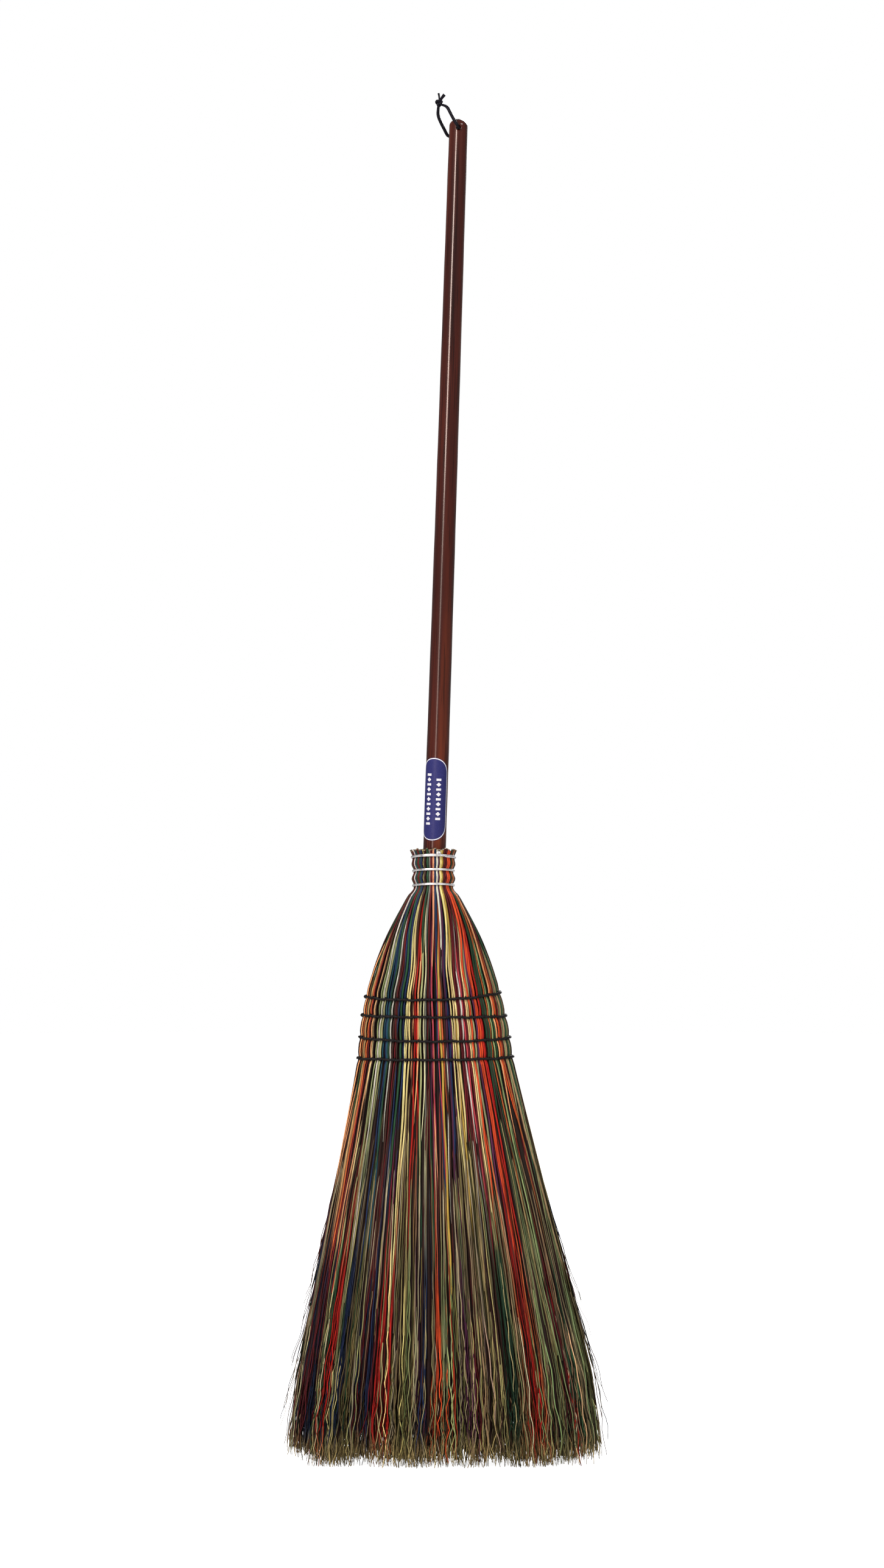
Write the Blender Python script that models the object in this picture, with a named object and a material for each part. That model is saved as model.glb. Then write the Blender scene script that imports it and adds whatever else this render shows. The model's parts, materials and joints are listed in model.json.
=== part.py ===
"""Hand-tied corn broom of the kind swept on curling ice, standing upright on its trimmed foot.

Metres, +Z up. The origin is the middle of the foot, and the flat front of the broom faces -Y.
A tapered wooden handle is driven into a head of dyed broomcorn. The corn is bound to the handle
with wire, pressed flat, and sewn with four rows of waxed twine. A leather lace through the top of
the handle hangs the broom up.
"""
from math import cos, pi, radians, sin, tau

import bmesh
import bpy
from mathutils import Matrix, Vector

GAP = 0.0003                    # clearance between pieces that touch

# Handle
OVERALL_HEIGHT = 1.432
LEAN = radians(1.9)             # the handle is tied in slightly off square
NECK_X = -0.0123                # middle of the collar, left of the middle of the foot
NECK_Z = 0.620                  # height on the handle's axis that the lean turns about
HANDLE_RADIUS = 0.0120          # in the collar
HANDLE_TOP_RADIUS = 0.0098
HANDLE_TIP_RADIUS = 0.0080      # blunt end inside the head
HANDLE_TIP_DEPTH = 0.090        # below NECK_Z
HANDLE_TIP = NECK_Z - HANDLE_TIP_DEPTH
TIP_CLEARANCE = 0.001
TIP_TAPER = 0.030
SOCKET_FADE = 0.010             # below the tip, where the handle's socket has closed to a thin gap
TAPER_START = 0.100             # above NECK_Z; the handle is straight below this
DOME_HEIGHT = 0.0075
DOME_TURN = radians(78)         # how far over the top the dome is rounded before its small flat
HANDLE_SIDES = 32
HOLE_BELOW_TOP = 0.0105
HOLE_RADIUS = 0.0022
HOLE_CUTTER_LENGTH = 0.040      # more than the handle is thick

# Label
LABEL_LOW = 0.6634
LABEL_HIGH = 0.7516
LABEL_FROM = radians(-98)       # round the handle from the front, negative to the left
LABEL_TO = radians(64)
LABEL_THICKNESS = 0.0003
LABEL_END_TURN = radians(80)    # how far each round end is drawn towards the label's side edges

# Collar and its wire
COLLAR_TOP = 0.6535
STUB_RADIUS = 0.0250            # cut ends, spread over the top band
BULGE_RADIUS = 0.0236           # corn between two bands
BULGE_BELOW = 0.0055            # from a band's groove down to the middle of the bulge
BAND_HEIGHTS = {"top": 0.6455, "middle": 0.6310, "bottom": 0.6155}
BAND_SEATS = {"top": 0.02225, "middle": 0.02085, "bottom": 0.02085}
BAND_WIRE = 0.0008              # wire radius; a band is two turns side by side
WIRE_MEET = radians(48)         # where one turn of a band runs into the other, round the wire
SEAT_HALF = 0.0019              # half the height of a band's groove
WINDING_WIRE = 0.0007
WINDING_RADIUS = 0.0169
WINDING_LOW = 0.609
WINDING_TURNS = 5
WINDING_STEPS = 20              # in each turn
WINDING_PITCH = 0.0062

# Nail that ends the wire
NAIL_HEIGHT = 0.6500
NAIL_ANGLE = radians(283)       # 270 is straight to the front
NAIL_HEAD_RADIUS = 0.0024
NAIL_HEAD_THICKNESS = 0.0010
NAIL_HEAD_AT = 0.0249           # from the collar's axis to the underside of the head
NAIL_SHANK_RADIUS = 0.0009
NAIL_TIP_RADIUS = 0.0003
NAIL_LENGTH = 0.0185
NAIL_POINT_LENGTH = 0.0020
NAIL_BORE_OUT = 0.0070          # bore beyond the underside of the head
NAIL_BORE_IN = 0.0010           # bore beyond the tip

# Head: half width and half thickness at heights below the collar
WIDTHS = [
    (0.606, 0.0265), (0.598, 0.0310), (0.582, 0.0400), (0.560, 0.0515), (0.534, 0.0620),
    (0.500, 0.0725), (0.465, 0.0795), (0.429, 0.0835), (0.395, 0.0910), (0.226, 0.1295),
    (0.097, 0.1590), (0.032, 0.1690), (0.000, 0.1720),
]
THICKNESSES = [
    (0.606, 0.0250), (0.582, 0.0238), (0.534, 0.0200), (0.500, 0.0180), (0.465, 0.0170),
    (0.429, 0.0170), (0.395, 0.0185), (0.226, 0.0260), (0.097, 0.0315), (0.000, 0.0350),
]
SQUARENESS = [(0.620, 2.0), (0.500, 2.5), (0.000, 2.5)]    # exponent of the outline
CENTRES = [(0.500, NECK_X), (0.100, 0.0), (0.000, 0.0)]
HURL_THICKNESS = 0.0065         # cover layer
HURL_BORE = 0.0180              # inside of the cover layer in the collar
INSIDES_RADIUS = 0.0156         # inner corn in the collar, under the winding
INSIDES_BORE = HANDLE_RADIUS + 0.0006
LAYER_GAP = 0.0004
PITH = 0.0008                   # half thickness of the gap where the inner bundles meet
EDGE_SPAN = radians(40)         # a cover bundle at the left or right edge
COVERS_PER_FACE = 6

# Sewing
STITCH_ROWS = [                 # height at left edge, in the middle, at right edge
    (0.4955, 0.4922, 0.4995), (0.4760, 0.4732, 0.4747), (0.4526, 0.4485, 0.4526),
    (0.4300, 0.4290, 0.4318),
]
TWINE_RADIUS = 0.00125
TWINE_STANDOFF = 0.0005

# Hanging lace, from the middle of the hole
LACE_RADIUS = 0.0013
LACE_ROUTE = [
    (-0.0178, -0.0022, 0.0256), (-0.0123, -0.0075, 0.0222), (-0.0083, -0.0118, 0.0145),
    (-0.0046, -0.0150, 0.0070), (-0.0012, -0.0143, 0.0013), (0.0, -0.0095, 0.0),
    (0.0, 0.0, 0.0), (0.0, 0.0095, 0.0), (-0.0016, 0.0146, -0.0012), (-0.0060, 0.0165, -0.0042),
    (-0.0110, 0.0148, -0.0046), (-0.0155, 0.0112, 0.0025), (-0.0197, 0.0075, 0.0104),
    (-0.0217, 0.0045, 0.0164), (-0.0214, 0.0020, 0.0230),
]
LACE_STEP = 0.0028              # close points, because the bends at the hole are tight
KNOT_CENTRE = (-0.0207, 0.0, 0.0278)
KNOT_RADII = (0.0038, 0.0034, 0.0036)
TAIL_ENDS = [(-0.0212, -0.0006, 0.0382), (-0.0148, 0.0006, 0.0368)]
TAIL_RADIUS = 0.0012

COLOURS = {
    "varnished_wood": ((0.090, 0.020, 0.012), 0.25, 0.0),
    "label_paper": ((0.050, 0.053, 0.230), 0.45, 0.0),
    "steel_wire": ((0.70, 0.70, 0.72), 0.30, 1.0),
    "waxed_twine": ((0.012, 0.010, 0.012), 0.60, 0.0),
    "leather_lace": ((0.010, 0.010, 0.014), 0.55, 0.0),
    "straw": ((0.55, 0.42, 0.17), 0.60, 0.0),
    "orange": ((0.70, 0.13, 0.03), 0.60, 0.0),
    "red": ((0.35, 0.03, 0.03), 0.60, 0.0),
    "blue": ((0.03, 0.07, 0.16), 0.60, 0.0),
    "green": ((0.05, 0.15, 0.06), 0.60, 0.0),
    "plum": ((0.12, 0.03, 0.08), 0.60, 0.0),
    "natural": ((0.40, 0.33, 0.15), 0.70, 0.0),
}
COVER_DYES = ["straw", "blue", "green", "red", "plum", "orange", "straw"]


# Scene helpers

def clear_scene():
    for thing in list(bpy.data.objects):
        bpy.data.objects.remove(thing, do_unlink=True)


def make_material(name):
    colour, roughness, metallic = COLOURS[name]
    material = bpy.data.materials.new(name)
    material.use_nodes = True
    shader = material.node_tree.nodes["Principled BSDF"]
    shader.inputs["Base Color"].default_value = (*colour, 1.0)
    shader.inputs["Roughness"].default_value = roughness
    shader.inputs["Metallic"].default_value = metallic
    return material


def add_object(name, data, material_name=None):
    thing = bpy.data.objects.new(name, data)
    bpy.context.scene.collection.objects.link(thing)
    if material_name:
        thing.data.materials.append(make_material(material_name))
    return thing


def add_mesh(name, rings, material_name, closed_path=False, outer_points=None):
    """Joins rings of the same number of points into one closed body.

    Where outer_points is given, its sides are triangles. The first outer_points sides are split
    one way and the rest the other way, so two bundles split the twisted face between them alike.
    """
    body = bmesh.new()
    rows = [[body.verts.new(point) for point in ring] for ring in rings]
    count = len(rows[0])
    pairs = list(zip(rows, rows[1:]))
    if closed_path:
        pairs.append((rows[-1], rows[0]))
    for low, high in pairs:
        for i in range(count):
            j = (i + 1) % count
            if outer_points is None:
                body.faces.new((low[i], low[j], high[j], high[i]))
            elif i < outer_points:
                body.faces.new((low[i], low[j], high[j]))
                body.faces.new((low[i], high[j], high[i]))
            else:
                body.faces.new((low[i], low[j], high[i]))
                body.faces.new((low[j], high[j], high[i]))
    if not closed_path:
        body.faces.new(rows[0][::-1])
        body.faces.new(rows[-1])
    bmesh.ops.recalc_face_normals(body, faces=body.faces)
    mesh = bpy.data.meshes.new(name)
    body.to_mesh(mesh)
    body.free()
    return add_object(name, mesh, material_name)


def shade_round(thing, sharp_angle=radians(40)):
    thing.data.shade_smooth()
    thing.data.set_sharp_from_angle(angle=sharp_angle)


def turned_rings(profile, sides):
    """Rings round +Z for a turned shape given as (radius, height) pairs."""
    return [
        [(r * cos(tau * i / sides), r * sin(tau * i / sides), z) for i in range(sides)]
        for r, z in profile
    ]


def add_cutter(name, radius, length, matrix, sides=16):
    profile = [(radius, -length / 2), (radius, length / 2)]
    cutter = add_mesh(name, turned_rings(profile, sides), None)
    cutter.matrix_world = matrix
    cutter.display_type = "WIRE"
    cutter.hide_render = True
    return cutter


def cut(thing, cutter):
    modifier = thing.modifiers.new(cutter.name, "BOOLEAN")
    modifier.operation = "DIFFERENCE"
    modifier.solver = "EXACT"
    modifier.object = cutter


# Head outline

def at_height(stations, z):
    """Straight-line reading of a list of (height, value) that runs downwards."""
    if z >= stations[0][0]:
        return stations[0][1]
    for (high, upper), (low, lower) in zip(stations, stations[1:]):
        if z >= low:
            return lower + (upper - lower) * (z - low) / (high - low)
    return stations[-1][1]


def rim_point(outline, angle):
    """Point of a rounded-off oval, where outline is (centre x, half width, half depth, power)."""
    centre, width, depth, power = outline
    c = cos(angle)
    s = sin(angle)
    x = width * abs(c) ** (2 / power) * (1 if c > 0 else -1)
    y = depth * abs(s) ** (2 / power) * (1 if s > 0 else -1)
    return Vector((centre + x, y))


def collar_radius(z):
    stations = [(COLLAR_TOP, STUB_RADIUS)]
    for band, seat in BAND_SEATS.items():
        height = BAND_HEIGHTS[band]
        stations.append((height + SEAT_HALF, seat))
        stations.append((height - SEAT_HALF, seat))
        stations.append((height - SEAT_HALF - BULGE_BELOW, BULGE_RADIUS))
    return at_height(stations, z)


COLLAR_FOOT = WIDTHS[0][0]


def outer_outline(z):
    power = at_height(SQUARENESS, z)
    if z > COLLAR_FOOT:
        return NECK_X, collar_radius(z), collar_radius(z), power
    return at_height(CENTRES, z), at_height(WIDTHS, z), at_height(THICKNESSES, z), power


def inset_outline(z, collar, inset):
    centre, width, depth, power = outer_outline(z)
    if z >= COLLAR_FOOT:
        return centre, collar, collar, power
    return centre, width - inset, depth - inset, power


def cover_bore(z):
    return inset_outline(z, HURL_BORE, HURL_THICKNESS)


def insides_rim(z):
    return inset_outline(z, INSIDES_RADIUS, HURL_THICKNESS + LAYER_GAP)


def handle_axis_x(z):
    return NECK_X + (z - NECK_Z) * sin(LEAN) / cos(LEAN)


def insides_bore(z):
    """The handle's socket, and below its tip the thin gap where the bundles meet."""
    if z > HANDLE_TIP - SOCKET_FADE / 2:
        return handle_axis_x(z), INSIDES_BORE, INSIDES_BORE, 2.0
    return outer_outline(z)[0], 4 * PITH, PITH, 2.0


def head_levels():
    """Every height at which the head's outline or the handle's socket bends."""
    levels = {COLLAR_TOP, HANDLE_TIP - TIP_CLEARANCE, HANDLE_TIP - SOCKET_FADE}
    for height in BAND_HEIGHTS.values():
        levels.add(height + SEAT_HALF)
        levels.add(height - SEAT_HALF)
    for band in ("top", "middle"):
        levels.add(BAND_HEIGHTS[band] - SEAT_HALF - BULGE_BELOW)
    levels.update(height for height, _ in WIDTHS)
    return sorted(levels, reverse=True)


def arc(outline, angles):
    """Points of an outline at these angles, drawn in by half a layer gap at both ends."""
    points = [rim_point(outline, angle) for angle in angles]
    step = radians(0.5)
    first = rim_point(outline, angles[0] + step) - points[0]
    last = rim_point(outline, angles[-1] - step) - points[-1]
    points[0] += first.normalized() * LAYER_GAP / 2
    points[-1] += last.normalized() * LAYER_GAP / 2
    return points


def add_bundle(name, rim, bore, angles, levels, dye, bore_steps):
    """One bundle of corn: the part of a layer between two angles, from its cut top to the foot."""
    inner = [angles[0] + (angles[-1] - angles[0]) * i / bore_steps for i in range(bore_steps + 1)]
    rings = []
    for z in levels:
        section = arc(rim(z), angles) + arc(bore(z), inner)[::-1]
        rings.append([(point.x, point.y, z) for point in section])
    bundle = add_mesh(name, rings, dye, outer_points=len(angles))
    shade_round(bundle)
    return bundle


def spread(start, end, steps):
    return [start + (end - start) * i / steps for i in range(steps + 1)]


def face_angles(first, step, index):
    start = first + step * index
    return spread(start, start + step, 2)


# Pieces

def add_handle(axis):
    top = (OVERALL_HEIGHT - NECK_Z) / cos(LEAN)
    shoulder = top - DOME_HEIGHT
    profile = [
        (HANDLE_TIP_RADIUS, -HANDLE_TIP_DEPTH), (HANDLE_RADIUS, TIP_TAPER - HANDLE_TIP_DEPTH),
        (HANDLE_RADIUS, TAPER_START),
        ((HANDLE_RADIUS + HANDLE_TOP_RADIUS) / 2, (TAPER_START + shoulder) / 2),
    ]
    for turn in spread(0, DOME_TURN, 5):
        rise = DOME_HEIGHT * sin(turn) / sin(DOME_TURN)
        profile.append((HANDLE_TOP_RADIUS * cos(turn), shoulder + rise))
    handle = add_mesh("handle", turned_rings(profile, HANDLE_SIDES), "varnished_wood")
    handle.parent = axis
    shade_round(handle)
    return handle, top - HOLE_BELOW_TOP


def add_label(axis):
    """A paper label with round ends, wrapped round the handle's front and left side."""
    half_turn = (LABEL_TO - LABEL_FROM) / 2
    middle = (LABEL_TO + LABEL_FROM) / 2
    end_height = half_turn * HANDLE_RADIUS
    inside = HANDLE_RADIUS + GAP
    outside = inside + LABEL_THICKNESS
    rings = []
    for turn in spread(-LABEL_END_TURN, LABEL_END_TURN, 14):
        angle = middle + half_turn * sin(turn)
        rounding = end_height * (1 - cos(turn))
        low = LABEL_LOW - NECK_Z + rounding
        high = LABEL_HIGH - NECK_Z - rounding
        rings.append([
            (radius * sin(angle), -radius * cos(angle), z)
            for radius, z in ((outside, low), (outside, high), (inside, high), (inside, low))
        ])
    label = add_mesh("label", rings, "label_paper")
    label.parent = axis
    shade_round(label)


def add_ring(name, path, section, material_name):
    """A closed band. path holds (position, outward direction), section (outward, upward) pairs."""
    rings = [
        [position + outward * u + Vector((0, 0, v)) for u, v in section]
        for position, outward in path
    ]
    ring = add_mesh(name, rings, material_name, closed_path=True)
    shade_round(ring, radians(60))
    return ring


def circle_path(radius, z, steps):
    directions = [Vector((cos(tau * i / steps), sin(tau * i / steps), 0)) for i in range(steps)]
    return [(Vector((NECK_X, 0, z)) + d * radius, d) for d in directions]


def add_bands():
    """Each band is two turns of wire lying side by side, drawn into the corn."""
    turns = spread(-WIRE_MEET, pi + WIRE_MEET, 3)
    upper = [(BAND_WIRE * cos(turn), BAND_WIRE * (1 + sin(turn))) for turn in turns]
    section = upper + [(-u, -v) for u, v in upper]
    for band, height in BAND_HEIGHTS.items():
        radius = BAND_SEATS[band] + GAP + BAND_WIRE
        add_ring(f"wire_band_{band}", circle_path(radius, height, 30), section, "steel_wire")


def add_inner_winding():
    """Spiral of wire that binds the inner corn to the handle, under the cover layer."""
    sides = 6
    rings = []
    for i in range(WINDING_STEPS * WINDING_TURNS + 1):
        turned = i / WINDING_STEPS
        outward = Vector((cos(tau * turned), sin(tau * turned), 0))
        centre = Vector((NECK_X, 0, WINDING_LOW + WINDING_PITCH * turned)) + outward * WINDING_RADIUS
        rings.append([
            centre + outward * WINDING_WIRE * cos(tau * k / sides)
            + Vector((0, 0, WINDING_WIRE * sin(tau * k / sides)))
            for k in range(sides)
        ])
    shade_round(add_mesh("inner_winding", rings, "steel_wire"), radians(70))


def add_nail():
    """Flat-headed nail through the collar into the handle, which holds the end of the wire."""
    outward = Vector((cos(NAIL_ANGLE), sin(NAIL_ANGLE), 0))
    frame = outward.to_track_quat("Z", "Y").to_matrix().to_4x4()
    origin = Vector((NECK_X, 0, NAIL_HEIGHT)) + outward * NAIL_HEAD_AT
    profile = [
        (NAIL_TIP_RADIUS, -NAIL_LENGTH), (NAIL_SHANK_RADIUS, NAIL_POINT_LENGTH - NAIL_LENGTH),
        (NAIL_SHANK_RADIUS, 0),
        (NAIL_HEAD_RADIUS, 0), (NAIL_HEAD_RADIUS, NAIL_HEAD_THICKNESS * 0.6),
        (NAIL_HEAD_RADIUS * 0.75, NAIL_HEAD_THICKNESS),
    ]
    nail = add_mesh("wire_nail", turned_rings(profile, 12), "steel_wire")
    nail.matrix_world = Matrix.Translation(origin) @ frame
    shade_round(nail)
    bore_middle = origin + outward * (NAIL_BORE_OUT - NAIL_BORE_IN - NAIL_LENGTH) / 2
    bore_length = NAIL_LENGTH + NAIL_BORE_OUT + NAIL_BORE_IN
    place = Matrix.Translation(bore_middle) @ frame
    return add_cutter("nail_bore", NAIL_SHANK_RADIUS + GAP, bore_length, place, sides=10)


def add_corn():
    """The cover layer's bundles round the outside, and four bundles inside it."""
    levels = head_levels()
    edge = EDGE_SPAN / 2
    step = (pi - EDGE_SPAN) / COVERS_PER_FACE
    bundles = {}
    sections = {"edge_right": spread(-edge, edge, 4), "edge_left": spread(pi - edge, pi + edge, 4)}
    for i in range(COVERS_PER_FACE):
        sections[f"front_{i + 1}"] = face_angles(pi + edge, step, i)
        sections[f"back_{i + 1}"] = face_angles(edge, step, i)
    for index, (place, angles) in enumerate(sections.items()):
        name = f"hurl_{place}"
        dye = COVER_DYES[index % len(COVER_DYES)]
        bundles[name] = add_bundle(name, outer_outline, cover_bore, angles, levels, dye, len(angles) - 1)

    side = edge + step
    shoulder_angles = [-side, -side + step / 2] + spread(-edge, edge, 4) + [side - step / 2, side]
    middle_angles = spread(side, pi - side, 2 * (COVERS_PER_FACE - 2))
    inner = {
        "shoulder_right": shoulder_angles,
        "shoulder_left": [angle + pi for angle in shoulder_angles],
        "insides_back": middle_angles,
        "insides_front": [angle + pi for angle in middle_angles],
    }
    for name, angles in inner.items():
        bundles[name] = add_bundle(name, insides_rim, insides_bore, angles, levels, "natural", 4)
    return bundles


def stitch_height(row, across):
    """Height of a sewn row, where across runs from -1 at the left edge to 1 at the right."""
    left, middle, right = row
    tilt = (right - left) / 2
    sag = (left + right) / 2 - middle
    return middle + tilt * across + sag * across * across


def add_stitch_wraps():
    """Each row's twine goes once round the head, and the sewing catches it."""
    section = [(TWINE_RADIUS * cos(tau * k / 6), TWINE_RADIUS * sin(tau * k / 6)) for k in range(6)]
    steps = 40
    for index, row in enumerate(STITCH_ROWS):
        path = []
        for i in range(steps):
            angle = tau * i / steps
            z = stitch_height(row, cos(angle))
            outline = outer_outline(z)
            here = rim_point(outline, angle)
            ahead = rim_point(outline, angle + 0.01) - rim_point(outline, angle - 0.01)
            outward = Vector((ahead.y, -ahead.x, 0)).normalized()
            standoff = outward * (TWINE_RADIUS + TWINE_STANDOFF)
            path.append((Vector((here.x, here.y, z)) + standoff, outward))
        add_ring(f"stitch_wrap_{index + 1}", path, section, "waxed_twine")


def smooth_route(points, step):
    """Points about a step apart on a smooth curve through the route's own points."""
    points = [Vector(point) for point in points]
    ends = [points[0] * 2 - points[1]] + points + [points[-1] * 2 - points[-2]]
    fine = []
    for a, b, c, d in zip(ends, ends[1:], ends[2:], ends[3:]):
        for i in range(16):
            t = i / 16
            fine.append(0.5 * (2 * b + (c - a) * t + (2 * a - 5 * b + 4 * c - d) * t ** 2
                               + (3 * b - a - 3 * c + d) * t ** 3))
    fine.append(points[-1])
    length = sum((q - p).length for p, q in zip(fine, fine[1:]))
    spacing = length / round(length / step)
    route = [fine[0]]
    walked = 0.0
    for p, q in zip(fine, fine[1:]):
        walked += (q - p).length
        if walked >= spacing * len(route) - 1e-9:
            route.append(q)
    return route


def add_lace(hole):
    """One leather lace through the hole, both ends drawn into a knot."""
    route = smooth_route(LACE_ROUTE, LACE_STEP)
    curve = bpy.data.curves.new("hanging_lace", "CURVE")
    curve.dimensions = "3D"
    curve.bevel_depth = LACE_RADIUS
    curve.bevel_resolution = 2
    curve.use_fill_caps = True
    spline = curve.splines.new("POLY")
    spline.points.add(len(route) - 1)
    for point, place in zip(spline.points, route):
        point.co = (*place, 1.0)
    lace = add_object("hanging_lace", curve, "leather_lace")
    lace.location = hole


def add_knot(hole):
    """The overhand knot as one lump, with the lace's two cut tails standing out of it."""
    body = bmesh.new()
    bmesh.ops.create_uvsphere(body, u_segments=14, v_segments=9, radius=1.0)
    bmesh.ops.scale(body, vec=KNOT_RADII, verts=body.verts)
    mesh = bpy.data.meshes.new("lace_knot")
    body.to_mesh(mesh)
    body.free()
    knot = add_object("lace_knot", mesh, "leather_lace")
    knot.location = hole + Vector(KNOT_CENTRE)
    for index, end in enumerate(TAIL_ENDS):
        reach = Vector(end) - Vector(KNOT_CENTRE)
        profile = [(TAIL_RADIUS, 0), (TAIL_RADIUS, reach.length)]
        tail = add_cutter(f"tail_{index + 1}", TAIL_RADIUS, 1.0, Matrix(), sides=8)
        for vertex, ring in zip(tail.data.vertices, sum(turned_rings(profile, 8), [])):
            vertex.co = ring
        tail.matrix_world = (Matrix.Translation(hole + Vector(KNOT_CENTRE))
                             @ reach.to_track_quat("Z", "Y").to_matrix().to_4x4())
        modifier = knot.modifiers.new(tail.name, "BOOLEAN")
        modifier.operation = "UNION"
        modifier.solver = "EXACT"
        modifier.object = tail
    shade_round(knot)


def main():
    clear_scene()
    axis = add_object("handle_axis", None)
    axis.matrix_world = Matrix.Translation((NECK_X, 0, NECK_Z)) @ Matrix.Rotation(LEAN, 4, "Y")
    handle, hole_height = add_handle(axis)
    hole = axis.matrix_world @ Vector((0, 0, hole_height))
    add_label(axis)
    add_bands()
    add_inner_winding()
    nail_bore = add_nail()
    bundles = add_corn()
    across = Matrix.Translation(hole) @ Matrix.Rotation(pi / 2, 4, "X")
    lace_hole = add_cutter("lace_hole", HOLE_RADIUS, HOLE_CUTTER_LENGTH, across)
    cut(handle, lace_hole)
    cut(handle, nail_bore)
    cut(bundles["insides_front"], nail_bore)
    cut(bundles["hurl_front_4"], nail_bore)
    add_stitch_wraps()
    add_lace(hole)
    add_knot(hole)


main()
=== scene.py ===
"""Looks of the hand-tied corn broom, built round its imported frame. Metres, +Z up, front to -Y."""
import json
from math import copysign, cos, pi, radians, sin, tau

import bpy
import numpy as np
from mathutils import Matrix, Vector


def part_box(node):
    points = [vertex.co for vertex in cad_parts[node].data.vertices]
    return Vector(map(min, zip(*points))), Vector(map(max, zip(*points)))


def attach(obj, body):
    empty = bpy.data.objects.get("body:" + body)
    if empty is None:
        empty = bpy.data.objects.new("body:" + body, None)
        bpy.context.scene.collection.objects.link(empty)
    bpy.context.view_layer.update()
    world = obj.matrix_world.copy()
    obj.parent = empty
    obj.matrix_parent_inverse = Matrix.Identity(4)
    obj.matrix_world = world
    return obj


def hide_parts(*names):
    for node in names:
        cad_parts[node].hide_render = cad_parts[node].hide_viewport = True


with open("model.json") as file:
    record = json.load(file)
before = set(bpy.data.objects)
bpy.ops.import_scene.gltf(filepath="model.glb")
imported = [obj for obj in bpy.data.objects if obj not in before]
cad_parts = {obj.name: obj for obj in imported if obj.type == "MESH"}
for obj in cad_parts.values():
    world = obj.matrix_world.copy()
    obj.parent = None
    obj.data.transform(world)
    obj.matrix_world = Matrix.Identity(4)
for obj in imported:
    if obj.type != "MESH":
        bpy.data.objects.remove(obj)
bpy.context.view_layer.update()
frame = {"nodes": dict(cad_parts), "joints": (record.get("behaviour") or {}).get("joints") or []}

# Places taken from the frame
HOLE = Vector(frame["joints"][0]["pos_m"])
NECK_X = sum(corner[0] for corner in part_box("wire_band_bottom")) / 2
HANDLE_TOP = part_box("handle")[1][2]

# Camera: straight at the front of the broom, level, from far enough back to look square
CAMERA_DISTANCE = 4.0
PICTURE_MIDDLE = (-0.0032, 0.7237)
PICTURE_HEIGHT = 1.6706  # metres of the broom's own plane, top to bottom of the picture
SENSOR = 36.0

# Hanging lace, from the middle of its hole. The CAD has the same route.
LACE_WIDTH = 0.0034
LACE_THICKNESS = 0.0026
LACE_TWIST = 5.2  # radians, where it is twisted most
LACE_STEP = 0.0012
EDGE_ROUNDING = 0.7  # 1 is an oval section, less is squarer
LACE_ROUTE = [
    (-0.0178, -0.0022, 0.0256), (-0.0123, -0.0075, 0.0222), (-0.0083, -0.0118, 0.0145),
    (-0.0046, -0.0150, 0.0070), (-0.0012, -0.0143, 0.0013), (0.0, -0.0095, 0.0),
    (0.0, 0.0, 0.0), (0.0, 0.0095, 0.0), (-0.0016, 0.0146, -0.0012), (-0.0060, 0.0165, -0.0042),
    (-0.0110, 0.0148, -0.0046), (-0.0155, 0.0112, 0.0025), (-0.0197, 0.0075, 0.0104),
    (-0.0217, 0.0045, 0.0164), (-0.0214, 0.0020, 0.0230),
]
LACE_ENDS = [(-0.0203, -0.0006, 0.0270), (-0.0209, 0.0004, 0.0262)]  # inside the knot
KNOT_CENTRE = (-0.0207, 0.0, 0.0278)
KNOT_SIZE = 0.00118
KNOT_STEPS = 96
KNOT_STRAP = (0.00155, 0.00125)  # half width and half thickness of the lace drawn tight
TAIL_ENDS = [(-0.0212, -0.0006, 0.0382), (-0.0148, 0.0006, 0.0368)]
TAIL_BOWS = [(0.0006, 0.0005, 0.0), (-0.0006, 0.0005, 0.0)]
TAIL_HALF_WIDTHS = [0.0010, 0.0017]
TAIL_HALF_THICKNESS = 0.0009
TAIL_STEPS = 9

# Handle, along its own axis from NECK_Z
LEAN = radians(1.9)
NECK_Z = 0.620
HANDLE_RADIUS = 0.0120
HANDLE_TOP_RADIUS = 0.0098
HANDLE_TIP = -0.090
TAPER_START = 0.100
DOME_HEIGHT = 0.0075
DOME_START = (HANDLE_TOP - NECK_Z) / cos(LEAN) - DOME_HEIGHT
HOLE_RADIUS = 0.0022
HANDLE_AXIS = Matrix.Translation((NECK_X, 0, NECK_Z)) @ Matrix.Rotation(LEAN, 4, "Y")

# Label, as angles round the handle from its front and heights along the handle's axis
LABEL_LOW = 0.6634 - NECK_Z
LABEL_HIGH = 0.7516 - NECK_Z
LABEL_FROM = radians(-98)
LABEL_TO = radians(64)
LABEL_MIDDLE = (LABEL_TO + LABEL_FROM) / 2
LABEL_HALF_TURN = (LABEL_TO - LABEL_FROM) / 2
LABEL_END = LABEL_HALF_TURN * HANDLE_RADIUS  # radius of its round ends
LABEL_SIDE_TURN = 86  # degrees that its columns reach round each end, of 90
LABEL_THICKNESS = 0.00012
LABEL_LIFT = 0.00006
EDGE_REACH = 0.006  # the edge attribute runs from 0 to 1 over this
MARK_LINES = [(radians(-41), 11), (radians(11), 9)]  # angle and number of marks
MARK_THICKNESS = 0.00004
MARK_LIFT = 0.0002
MARK_PITCH = 0.0052
MARK_HALF_WIDTH = 0.0026
BAR_HALF_HEIGHT = 0.0012
LOZENGE_HALF_HEIGHT = 0.0022

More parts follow.
